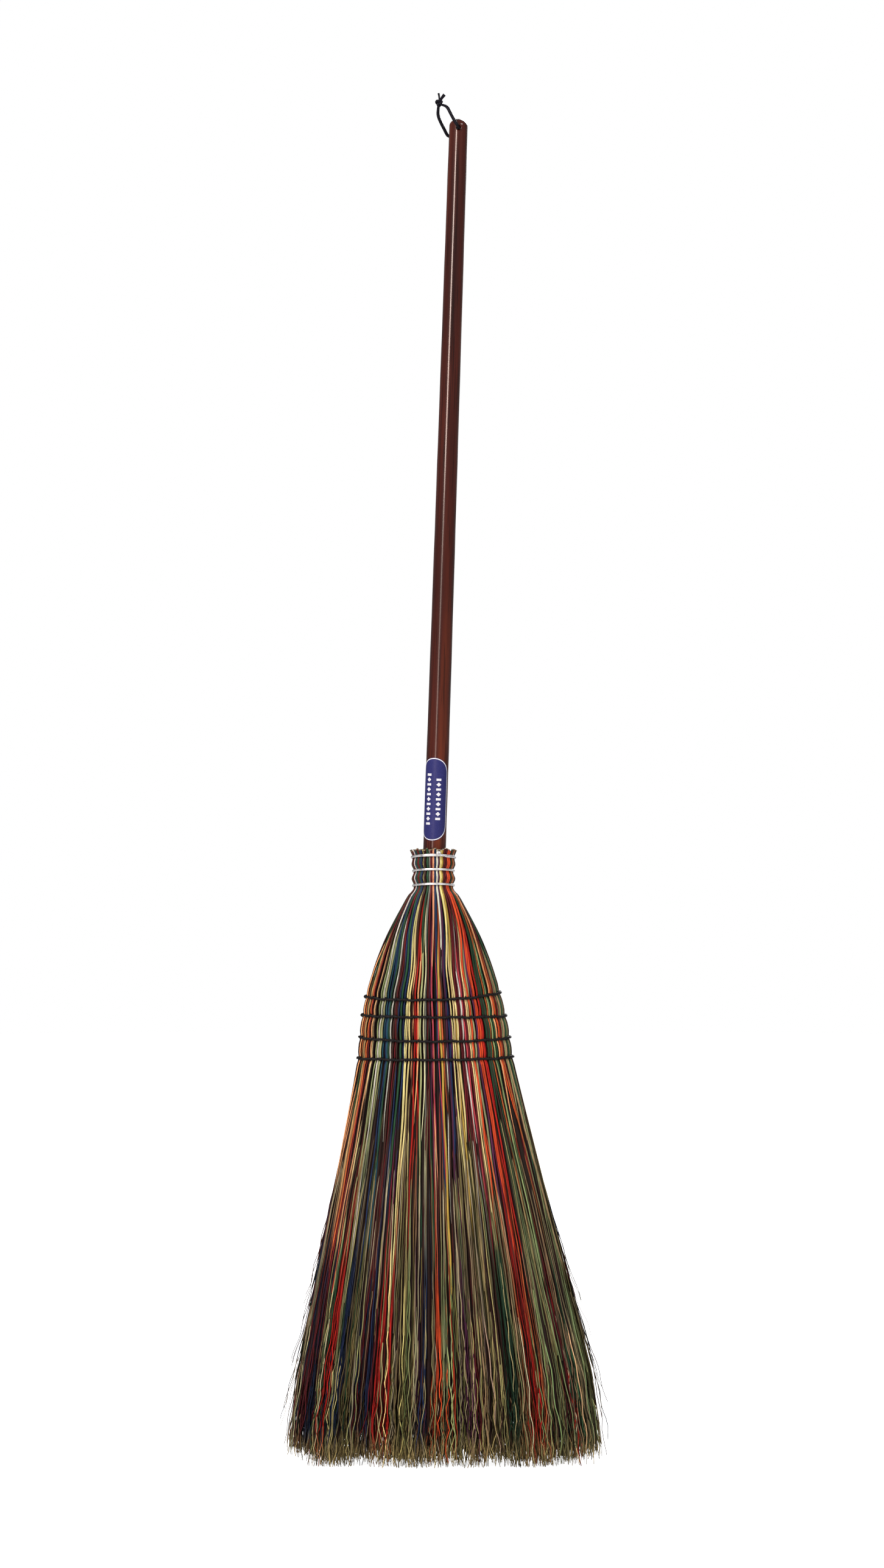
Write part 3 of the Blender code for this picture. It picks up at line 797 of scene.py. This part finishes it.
def add_nail():
    """A hammered head on a shank that is out of sight."""
    low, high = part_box("wire_nail")
    up = Vector((0, 0, 1))
    outward = Vector((cos(NAIL_ANGLE), sin(NAIL_ANGLE), 0))
    seat = Vector((NECK_X, 0, (low[2] + high[2]) / 2)) + outward * NAIL_SEAT
    axes = Matrix((up.cross(outward), up, outward)).transposed().to_4x4()
    mesh = turned("nail", NAIL_PROFILE, 28, 50,
                  lump=lambda angle: 1 + 0.05 * sin(3 * angle + 1) + 0.03 * sin(5 * angle))
    mesh.transform(Matrix.Translation(seat) @ axes)
    link("nail", mesh, "steel_wire", replaces=["wire_nail"])


add_bands()
add_nail()
winding = frame["nodes"]["inner_winding"]
winding.data.materials.clear()
winding.data.materials.append(MATERIALS["steel_wire"])


# Outline of the head, for whole arrays of heights

def smooth_table(stations, blur=0.010):
    """A list of (height, value) rounded off, as two arrays to read between."""
    heights = np.linspace(0, COLLAR_TOP, 655)
    raw = np.interp(heights, *zip(*stations))
    step = heights[1] - heights[0]
    reach = np.arange(-3 * blur, 3 * blur + step, step)
    weights = np.exp(-(reach / blur) ** 2)
    padded = np.pad(raw, len(reach) // 2, mode="reflect", reflect_type="odd")
    return heights, np.convolve(padded, weights / weights.sum(), mode="valid")[: len(heights)]


WIDTH_TABLE = smooth_table(WIDTHS)
THICKNESS_TABLE = smooth_table(THICKNESSES)
COLLAR_TABLE = smooth_table(COLLAR_STATIONS, blur=0.0012)


def blend_at(z, low, high):
    """0 below low, 1 above high, smooth between."""
    t = np.clip((z - low) / (high - low), 0, 1)
    return t * t * (3 - 2 * t)


def stitch_height(row, across):
    left, middle, right = row
    return middle + (right - left) / 2 * across + ((left + right) / 2 - middle) * across * across


def pinch(z, across):
    """How far the sewing draws the corn in."""
    depth = 0.0
    for row in STITCH_ROWS:
        depth = depth + PINCH_DEPTH * np.exp(-((z - stitch_height(row, across)) / PINCH_REACH) ** 2)
    return depth


def head_point(z, angle, depth):
    """Points of the head at these heights, angles round it and depths under its surface, with the
    direction outwards at each."""
    in_collar = blend_at(z, *COLLAR_BLEND)
    rise = COLLAR_TILT * in_collar * np.sin(angle)
    z = np.clip(z, 0, COLLAR_TOP)
    collar = np.interp(z, *COLLAR_TABLE)
    width = np.interp(z, *WIDTH_TABLE) * (1 - in_collar) + collar * in_collar
    thick = np.interp(z, *THICKNESS_TABLE) * (1 - in_collar) + collar * in_collar
    power = 2 / np.interp(z, *zip(*SQUARENESS))
    centre = np.interp(z, *zip(*CENTRES))
    c = np.cos(angle)
    s = np.sin(angle)
    inset = depth + pinch(z, c)
    flat = np.minimum(inset, thick * 0.97)
    x = centre + (width - inset) * np.abs(c) ** power * np.sign(c)
    y = (thick - flat) * np.abs(s) ** power * np.sign(s)
    nx = np.abs(c) ** (2 - power) * np.sign(c) / width
    ny = np.abs(s) ** (2 - power) * np.sign(s) / thick
    size = np.hypot(nx, ny)
    outward = np.stack([nx / size, ny / size, np.zeros_like(nx)], axis=-1)
    return np.stack([x, y, z - rise], axis=-1), outward


def even_angles(count):
    """Angles that are evenly spaced round the sewn part's outline, starting at the right edge."""
    angles = np.linspace(0, tau, 4001)
    points, _ = head_point(np.full_like(angles, 0.44), angles, np.zeros_like(angles))
    walked = np.concatenate([[0], np.cumsum(np.hypot(*np.diff(points[:, :2], axis=0).T))])
    wanted = (np.arange(count) + 0.5) / count * walked[-1]
    return np.interp(wanted, walked, angles)


# Strands of corn

def tube_points(centres, outward, wide, thick, sides):
    """A ring of points round each centre."""
    tangent = np.gradient(centres, axis=0)
    tangent /= np.linalg.norm(tangent, axis=1, keepdims=True) + 1e-12
    side = np.cross(outward, tangent)
    side /= np.linalg.norm(side, axis=1, keepdims=True) + 1e-12
    other = np.cross(tangent, side)
    turn = np.arange(sides) * tau / sides
    return (centres[:, None, :]
            + side[:, None, :] * (wide[:, None] * np.cos(turn))[:, :, None]
            + other[:, None, :] * (thick[:, None] * np.sin(turn))[:, :, None]).reshape(-1, 3)


def tube_colours(dye, sides):
    """The dye of each ring, with painted shade on its sides and inner face, so that its outer face is
    lightest.
    """
    outer = np.clip(np.sin(np.arange(sides) * tau / sides), 0, 1) ** 0.7
    shade = GROOVE_SHADE + (1 - GROOVE_SHADE) * outer
    return (dye[:, None, :] * shade[None, :, None]).reshape(-1, 3)


def tube_corners(rings, sides):
    """The corners of a tube's quads and two caps."""
    i = np.arange(rings - 1)[:, None] * sides
    k = np.arange(sides)[None, :]
    j = (k + 1) % sides
    quads = np.stack([i + k, i + j, i + sides + j, i + sides + k], axis=-1)
    last = (rings - 1) * sides
    return np.concatenate([quads.reshape(-1), np.arange(sides)[::-1], last + np.arange(sides)])


def tube_layout(rings, sides):
    """Where each corner of a tube lies in its own cell of the layout, from 0 to 1 both ways."""
    (left, right), (low, high) = CELL_ACROSS, CELL_ALONG
    i, k = np.broadcast_arrays(np.arange(rings - 1)[:, None], np.arange(sides)[None, :])
    u = left + (right - left) * np.stack([k, k + 1, k + 1, k], axis=-1) / sides
    v = low + (high - low) * np.stack([i, i, i + 1, i + 1], axis=-1) / (rings - 1)
    across = [u.reshape(-1), np.linspace(right, left, sides), np.linspace(left, right, sides)]
    along = [v.reshape(-1), np.full(sides, low), np.full(sides, high)]
    return np.concatenate(across), np.concatenate(along)


class Strands:
    """Tubes of corn joined into one mesh. Each point holds its dye times its painted shade, and each
    tube has its own cell in the layout that the colours are baked to."""

    def __init__(self, name):
        self.name = name
        self.tubes = []

    def lay(self, z, angle, depth, shift, half, colours, sides, lift=0.0, flatness=1.0):
        """Adds a strand through these places on the head, moved sideways by shift and in by lift."""
        centres, outward = head_point(z, np.broadcast_to(angle, z.shape), depth)
        sideways = np.stack([-outward[:, 1], outward[:, 0], np.zeros(len(z))], axis=-1)
        shift, lift = (np.broadcast_to(value, z.shape)[:, None] for value in (shift, lift))
        centres = centres + sideways * shift - outward * lift
        colours = np.broadcast_to(colours, centres.shape)
        self.tubes.append((centres, outward, half, half * flatness, colours, sides))

    def mesh(self):
        vertices, dyes, corners, face_sizes = [], [], [], []
        first = 0
        for centres, outward, wide, thick, dye, sides in self.tubes:
            rings = len(centres)
            vertices.append(tube_points(centres, outward, wide, thick, sides))
            # Each ring's colours carry the painted shade of its sides.
            dyes.append(tube_colours(dye, sides))
            corners.append(tube_corners(rings, sides) + first)
            face_sizes.append(np.array([4] * ((rings - 1) * sides) + [sides, sides]))
            first += rings * sides
        mesh = bpy.data.meshes.new(self.name)
        fill(mesh, np.concatenate(vertices), np.concatenate(corners), np.concatenate(face_sizes))
        layer = mesh.uv_layers.new(name="OFBake")
        layer.data.foreach_set("uv", self.layout().astype(np.float32).ravel())
        # The attribute holds each point's dye times its painted shade.
        paint = mesh.color_attributes.new("DyeAndPaintedShade", "FLOAT_COLOR", "POINT")
        rgba = np.pad(np.concatenate(dyes), ((0, 0), (0, 1)), constant_values=1.0)
        paint.data.foreach_set("color", rgba.astype(np.float32).ravel())
        mesh.shade_smooth()
        return mesh

    def layout(self):
        columns = int(np.ceil(np.sqrt(len(self.tubes))))
        rows = int(np.ceil(len(self.tubes) / columns))
        places = []
        for index, (centres, *_, sides) in enumerate(self.tubes):
            across, along = tube_layout(len(centres), sides)
            u = (index % columns + across) / columns
            v = (index // columns + along) / rows
            places.append(np.stack([u, v], axis=-1))
        return np.concatenate(places)


def fill(mesh, vertices, corners, face_sizes):
    """Fills an empty mesh from arrays."""
    mesh.vertices.add(len(vertices))
    mesh.vertices.foreach_set("co", vertices.astype(np.float32).ravel())
    mesh.loops.add(len(corners))
    mesh.loops.foreach_set("vertex_index", corners.astype(np.int32))
    mesh.polygons.add(len(face_sizes))
    mesh.polygons.foreach_set("loop_start", (np.cumsum(face_sizes) - face_sizes).astype(np.int32))
    mesh.update(calc_edges=True)


RNG = np.random.default_rng(7)
STALKS = 2 * len(FRONT_DYES)
PITH = linear((186, 164, 124))
RIPE = linear((214, 190, 126))


def dye_order(front):
    """Dye names from the right edge round: the back's, in shuffled threes, then the front's."""
    threes = [front[i:i + 3] for i in range(0, len(front), 3)]
    return [dye for three in RNG.permutation(len(threes)) for dye in threes[three]] + front


def bundle_at(angle, edge, right, back, left, front):
    """The CAD bundle at an angle round the head, whose edges reach this many degrees each way."""
    degrees = np.degrees(angle) % 360
    if degrees < edge or degrees >= 360 - edge:
        return right
    if 180 - edge <= degrees < 180 + edge:
        return left
    face = back if degrees < 180 else front
    return face[int((degrees % 180 - edge) // ((180 - 2 * edge) / len(face)))]


def vary(colour, amount):
    """The colour, a little lighter or darker and warmer or cooler."""
    return colour * np.exp(RNG.normal(0, amount)) * np.exp(RNG.normal(0, amount * 0.3, 3))


def pick_dye(names):
    return linear(DYES[names[RNG.integers(len(names))]])


def stalk_heights(top, end):
    """Heights of a stalk's rings, which are closest at its cut end and under the wire."""
    return np.concatenate([
        [top, top, top - 0.0008], np.arange(top - 0.002, 0.607, -0.0018),
        np.arange(0.605, 0.41, -0.0045), np.linspace(0.405, end, 12),
    ])


def add_stalk(strands, dye, layer, neck_angle, flat_angle):
    """One thick stalk. Returns its angle, colour and depth at the sewing."""
    colour = vary(linear(DYES[dye]), 0.16)
    end = RNG.uniform(*STALK_ENDS)
    z = stalk_heights(COLLAR_TOP + RNG.uniform(-0.0020, 0.0002) - LAYER_DROP * layer, end)
    neck = blend_at(z, SHOULDER_LOW, NECK_LOW)
    flat_angle = flat_angle + RNG.normal(0, 0.008)
    angle = neck_angle * neck + flat_angle * (1 - neck)
    width = RNG.uniform(*STALK_HALF_WIDTHS)
    neck_width = RNG.uniform(*NECK_HALF_WIDTHS)
    half = neck_width * neck + width * (1 - neck)
    half = half * (0.12 + 0.88 * blend_at(z, end - 0.01, end + 0.10))
    resting = RNG.uniform(0.0, 0.0016) + width * 0.5
    depth = (layer * LAYER_DEPTH + neck_width * 0.75) * neck + resting * (1 - neck)
    depth = depth + (LOOSE_BELOW - np.minimum(z, LOOSE_BELOW)) * RNG.uniform(0.0, 0.012)
    depth = depth + 0.002 * (1 - blend_at(z, end, end + 0.08))
    phase = RNG.uniform(0, tau)
    shift = RNG.normal(0, 0.003) * (1 - blend_at(z, end, LOOSE_BELOW))
    shift = shift + 0.0005 * np.sin(z * RNG.uniform(40, 75) + phase) * (1 - neck)
    shade = 1 + 0.12 * np.sin(z * RNG.uniform(15, 40) + phase)
    # Painted shade: in the neck the deeper layers of stalks are painted darker.
    shade = shade * (1 - 0.24 * layer * neck)
    colours = colour[None, :] * shade[:, None]
    colours[:2] = PITH * RNG.uniform(0.35, 0.9)
    half[0] = half[1] * 0.8
    strands.lay(z, angle, depth, shift, half, colours, 8, flatness=0.8)
    return flat_angle, colour, resting


def add_stalks(covers):
    """The thick stalks: cut ends above the top band, down under the wire and through the sewing.
    Returns what each one is, for the stems that grow from it."""
    flat_angles = even_angles(STALKS)
    stalks = []
    for index, dye in enumerate(dye_order(FRONT_DYES)):
        neck_angle = (index + 0.5) / STALKS * tau
        layer = 0 if dye.endswith("*") else 1 + index % 2
        node = bundle_at(neck_angle, *COVER)
        stalk = add_stalk(covers[node], dye.rstrip("*"), layer, neck_angle, flat_angles[index])
        stalks.append((node, *stalk))
    return stalks


def foot_dye(angle, dyes, angles):
    """The dye that the corn has low down, at this angle round the head."""
    place = np.interp(angle, angles, np.arange(len(dyes))) + RNG.normal(0, 0.4)
    return linear(DYES[dyes[int(np.clip(round(place), 0, len(dyes) - 1))]])


def foot_level(angle):
    """Height the tips reach here: uneven, and higher at the two ends of the foot."""
    uneven = 0.0035 + 0.0022 * np.sin(angle * 9 + 1) + 0.0018 * np.sin(angle * 23)
    uneven = uneven + 0.0012 * np.sin(angle * 47 + 2)
    return uneven + 0.012 * np.clip((abs(np.cos(angle)) - 0.80) / 0.20, 0, 1) ** 1.5


def stem_colours(share, natural, colour, below, foot):
    """The colour of each ring of a stem, from its stalk's to the foot's, and that of its fibres.
    Stems lying deeper, and each stem's start under its stalk, are painted darker as painted shade.
    """
    own = pick_dye(NATURAL_DYES) if natural else colour
    low = own * 0.5 if natural and RNG.random() < 0.5 else foot_dye(*foot)
    # Random tone, times painted shade that darkens the stems lying deeper.
    light = (1.0 - 100 * below) * min(1.3, np.exp(RNG.normal(-0.10, 0.40)))
    own = vary(own, 0.12) * light * (0.60 if natural else 0.84)
    low = vary(low, 0.12) * light * 0.66
    turning = blend_at(share, 0.06, 0.54)[:, None]
    colours = own * (1 - turning) + low * turning
    # Painted shade: the stem is darker where it starts under its stalk.
    return colours * (0.50 + 0.50 * blend_at(share, 0.02, 0.20))[:, None], low


def add_stem(strands, angle, colour, resting, foot):
    """One thin stem, and the fibres it ends in."""
    natural = RNG.random() < NATURAL_STEMS
    start = RNG.uniform(*(NATURAL_STARTS if natural else STEM_STARTS))
    end = RNG.uniform(*STEM_ENDS)
    z = np.linspace(start, end, STEM_RINGS)
    share = (start - z) / start
    below = RNG.uniform(0.0, 0.0014 if natural else 0.007)
    depth = resting + below + (0.0042 - below) * (1 - blend_at(share, 0.0, 0.22))
    spread = RNG.normal(0, 0.0052)
    phase = RNG.uniform(0, tau, 2)[0]
    bow = RNG.normal(0, 0.0014) * np.sin(pi * share)
    bow = bow + 0.0007 * share * np.sin(z * RNG.uniform(50, 110) + phase)
    half = RNG.uniform(*STEM_HALF_WIDTHS) * (1 - 0.30 * share)
    half = half * (1 - 0.75 * blend_at(share, 0.80, 1.0))
    colours, low = stem_colours(share, natural, colour, below, foot)
    strands.lay(z, angle, depth, spread * share + bow, half, colours, 6)
    level = foot_level(angle) + RNG.normal(0, 0.0042)
    for index in range(FIBRES_PER_STEM):
        bold = index == 0 and RNG.random() < BOLD_FIBRES
        add_fibre(strands, angle, (end, depth[-1], half[0]), spread, level, low, bold)


def add_fibre(strands, angle, stem, spread, level, colour, bold):
    """A fibre that a stem splits into, curling down to the foot. Bold ones lie outermost."""
    stem_end, stem_depth, stem_half = stem
    start = min(stem_end + RNG.uniform(0.02, 0.12), FIBRE_TOP)
    tip = level + abs(RNG.normal(0, 0.0045))
    if RNG.random() < SHORT_FIBRES:
        tip = RNG.uniform(0.02, 0.06)
    share = np.linspace(0, 1, FIBRE_RINGS)
    z = start + (max(tip, LOWEST_TIP) - start) * share
    sunk = RNG.uniform(0, 0.08) if bold else RNG.uniform(0.12, 1)
    depth = stem_depth + (0.013 * sunk - 0.001) * share ** 1.3
    phase, second = RNG.uniform(0, tau, 2)
    rough = RNG.uniform(0.7, 1.7) if bold else RNG.uniform(0.3, 1.4)
    shift = spread * (1 - z / 0.43) + RNG.normal(0, 0.0034) * share ** 1.2
    shift = shift + 0.0019 * rough * share ** 1.2 * np.sin(z * RNG.uniform(80, 180) + phase)
    shift = shift + 0.0005 * rough * share ** 2 * np.sin(z * RNG.uniform(300, 500) + second)
    lift = 0.0011 * rough * share ** 1.5 * np.sin(z * RNG.uniform(70, 150) + second)
    half = RNG.uniform(*BOLD_HALF_WIDTHS) if bold else min(stem_half, RNG.uniform(*FINE_HALF_WIDTHS))
    half = half * (0.15 + 0.85 * blend_at(share, 0.0, 0.14)) * (1 - 0.5 * share ** 1.8)
    if bold and RNG.random() < 0.24:
        colour = pick_dye(NATURAL_DYES) * 0.46
    ripe = RIPE * RNG.uniform(0.7, 2.1)
    # Random tone with painted shade: bold outer fibres are painted light, sunk ones darker the deeper
    # they lie.
    tone_and_painted_shade = vary(colour, 0.24) * (2.0 if bold else 1.36 - 1.0 * sunk)
    turning = (RNG.uniform(0.0, 0.9) * blend_at(-z, *RIPE_BLEND))[:, None]
    colours = tone_and_painted_shade * (1 - turning) + ripe * turning
    strands.lay(z, angle, depth, shift, half, colours, 4, lift=np.abs(lift))


def add_stems(covers, stalks):
    """The thin stems each stalk opens into under the sewing."""
    dyes = dye_order(FOOT_DYES)
    angles = even_angles(len(dyes))
    for node, angle, colour, resting in stalks:
        for _ in range(STEMS_PER_STALK):
            add_stem(covers[node], angle, colour, resting, (angle, dyes, angles))


def add_strays(covers):
    """A few fibres that stand away from the two edges."""
    share = np.linspace(0, 1, STRAY_RINGS)
    for node, middle in (("hurl_edge_left", pi), ("hurl_edge_right", 0.0)):
        for _ in range(STRAYS_PER_EDGE):
            angle = middle + RNG.normal(0, 0.12)
            z = RNG.uniform(0.02, 0.20) + RNG.uniform(0.07, 0.15) * (1 - share)
            away = RNG.uniform(0.003, 0.011) * share ** 1.4
            away = away + 0.0012 * share * np.sin(z * RNG.uniform(80, 200))
            depth = 0.001 - np.minimum(away, WIDEST - np.interp(z, *WIDTH_TABLE))
            wave = 0.0012 * share * np.sin(z * RNG.uniform(90, 220) + RNG.uniform(0, tau))
            wave = wave + RNG.normal(0, 0.004) * share
            half = RNG.uniform(*STRAY_HALF_WIDTHS) * (1 - 0.5 * share)
            colour = vary(pick_dye(STRAY_DYES), 0.2) * 0.8
            covers[node].lay(z, angle, depth, wave, half, colour, 4)


def add_filling(inners):
    """Thick strands that fill the head, in an outer and an inner layer, painted dark brown as painted
    shade between the outer stalks.
    """
    for count, top, radius, depth_share in FILLING:
        for angle in even_angles(count):
            end = RNG.uniform(0.018, 0.045)
            z = np.linspace(top, end, 34)
            depth = np.maximum(0.0062, np.interp(z, *THICKNESS_TABLE) * depth_share)
            grow = 0.42 + 0.58 * (1 - blend_at(z, 0.10, 0.60))
            half = radius * grow * (0.40 + 0.60 * blend_at(z, end - 0.005, 0.12))
            # Painted shade: half-strength brown for the shadowed insides.
            colour = vary(linear(DYES["brown"]), 0.25) * 0.5
            inners[bundle_at(angle, *INNER)].lay(z, angle, depth, 0.0, half, colour, 8)


def add_inner_fibres(inners):
    """Fine fibres round the filling, down to the foot."""
    share = np.linspace(0, 1, INNER_RINGS)
    names = list(DYES)
    for angle in even_angles(INNER_FIBRES):
        angle = angle + RNG.normal(0, 0.02)
        start = RNG.uniform(0.18, 0.34)
        tip = foot_level(angle) + abs(RNG.normal(0, 0.006))
        z = start + (min(tip, 0.03) - start) * share
        depth = 0.008 + RNG.uniform(0, 0.024) * share
        wave = 0.0016 * share ** 1.4 * np.sin(z * RNG.uniform(70, 130) + RNG.uniform(0, tau))
        wave = RNG.normal(0, 0.004) * share + wave
        half = RNG.uniform(0.00045, 0.0007) * (1 - 0.5 * share ** 1.5)
        dye = pick_dye(names)
        ripe = blend_at(-z, *RIPE_BLEND)[:, None]
        # Painted shade: the inner fibres are painted at 0.15 to 0.6 of their dye, as shade inside the
        # head.
        tone_and_painted_shade = dye * RNG.uniform(0.15, 0.6) * (1 - ripe) + RIPE * RNG.uniform(0.4, 1.1) * ripe
        inners[bundle_at(angle, *INNER)].lay(z, angle, depth, wave, half, tone_and_painted_shade, 4)


def link_corn(bundles, material):
    for name, strands in bundles.items():
        link(strands.name, strands.mesh(), material, replaces=[name])


def add_corn():
    cover_names = [*FRONTS, *BACKS, "hurl_edge_left", "hurl_edge_right"]
    covers = {name: Strands(f"{name}_corn") for name in cover_names}
    add_stems(covers, add_stalks(covers))
    add_strays(covers)
    link_corn(covers, "dyed_broomcorn")
    inner_names = ["insides_front", "insides_back", "shoulder_left", "shoulder_right"]
    inners = {name: Strands(f"{name}_corn") for name in inner_names}
    add_filling(inners)
    add_inner_fibres(inners)
    link_corn(inners, "inner_broomcorn")


add_corn()


# Sewing

def twine_section(count, turns):
    """Two strands twisted together this many turns over count points."""
    def section(i, angle):
        lobes = TWINE_RADIUS * (0.92 + 0.14 * cos(2 * (angle + turns * tau / count * i)))
        return lobes * cos(angle), lobes * sin(angle)

    return section


def surface(angle, row, up=0.0, lift=0.0):
    """A point on the corn, up from a sewn row and lifted off the surface."""
    z = stitch_height(STITCH_ROWS[row], cos(angle)) + up
    point, outward = head_point(np.array([z]), np.array([angle]), np.array([-lift]))
    return Vector(point[0]), Vector(outward[0])


def wrap_route(row):
    """The twine's way round the head, with a slight drift up and down."""
    route = []
    for index, angle in enumerate(even_angles(WRAP_POINTS)):
        drift = 0.00035 * sin(index * 0.19 + row) + 0.0002 * sin(index * 0.53)
        route.append(surface(angle, row, up=drift, lift=TWINE_RADIUS * 0.65)[0])
    return route


def stitch_path(angle, row):
    """A small slanted arch over the twine, from the corn above it to the corn below."""
    middle, outward = surface(angle, row)
    side = Vector((-outward.y, outward.x, 0)) * (-1 if outward.y < 0 else 1)
    path = []
    for i in range(STITCH_STEPS + 1):
        turn = pi * (i / STITCH_STEPS) * 1.16 - 0.08 * pi
        up = Vector((0, 0, STITCH_HALF_HEIGHT * cos(turn)))
        out = outward * (STITCH_ARCH * sin(turn) - STITCH_SINK)
        path.append(middle + up + out - side * STITCH_SLANT * cos(turn))
    return path


def add_sewing():
    for row in range(len(STITCH_ROWS)):
        name = f"stitch_row_{row + 1}"
        loop = wrap_route(row)
        turns = round(path_length(loop) / TWINE_LAY) / 2
        wrap = swept(name, [(loop, twine_section(len(loop), turns))], 10, closed=True)
        stitches = []
        for index, angle in enumerate(even_angles(round(path_length(loop) / STITCH_PITCH))):
            angle += 0.02 * sin(index * 2.3 + row * 1.7)
            stitches.append((stitch_path(angle, row), oval_section(STITCH_THREAD, STITCH_THREAD)))
        passes = swept(f"stitches_{row + 1}", stitches, 8)
        mesh = join_meshes(name, [wrap, passes])
        link(name, mesh, "waxed_twine", replaces=[f"stitch_wrap_{row + 1}"])


add_sewing()


# Stage and light

def add_floor():
    corners = [tau * i / 64 for i in range(64)]
    vertices = [(FLOOR_RADIUS * cos(a), FLOOR_RADIUS * sin(a), FLOOR_LEVEL) for a in corners]
    mesh = bpy.data.meshes.new("floor")
    mesh.from_pydata(vertices, [], [list(range(64))])
    floor = new_object("floor", mesh)
    m = Nodes("floor")
    seen = m.add("ShaderNodeLightPath").outputs["Is Camera Ray"]
    m.set(Base_Color=(0.5, 0.5, 0.5, 1.0), Roughness=0.9, Specular_IOR_Level=0.0)
    m.set(Emission_Color=(1.0, 1.0, 1.0, 1.0), Emission_Strength=m.range(seen, 0.12, 0.92))
    mesh.materials.append(m.material)


def add_area(name, place, target, size, power, colour):
    data = bpy.data.lights.new(name, "AREA")
    data.shape = "RECTANGLE"
    data.size, data.size_y = size
    data.energy = power
    data.color = colour
    light = new_object(name, data)
    light.location = place
    light.rotation_euler = (Vector(target) - Vector(place)).to_track_quat("-Z", "Y").to_euler()


def add_light():
    """White behind the broom for the camera, and a dim room for everything the varnish reflects."""
    world = bpy.data.worlds.new("studio")
    world.use_nodes = True
    nodes = world.node_tree.nodes
    room = nodes["Background"]
    room.inputs["Color"].default_value = (1.0, 1.0, 1.0, 1.0)
    seen = nodes.new("ShaderNodeLightPath").outputs["Is Camera Ray"]
    level = nodes.new("ShaderNodeMapRange")
    level.inputs["To Min"].default_value = ROOM_LEVEL
    level.inputs["To Max"].default_value = 1.0
    world.node_tree.links.new(seen, level.inputs["Value"])
    world.node_tree.links.new(level.outputs[0], room.inputs["Strength"])
    bpy.context.scene.world = world
    for light in LIGHTS:
        add_area(*light)
    bpy.context.scene.view_settings.view_transform = "Standard"


add_floor()
add_light()
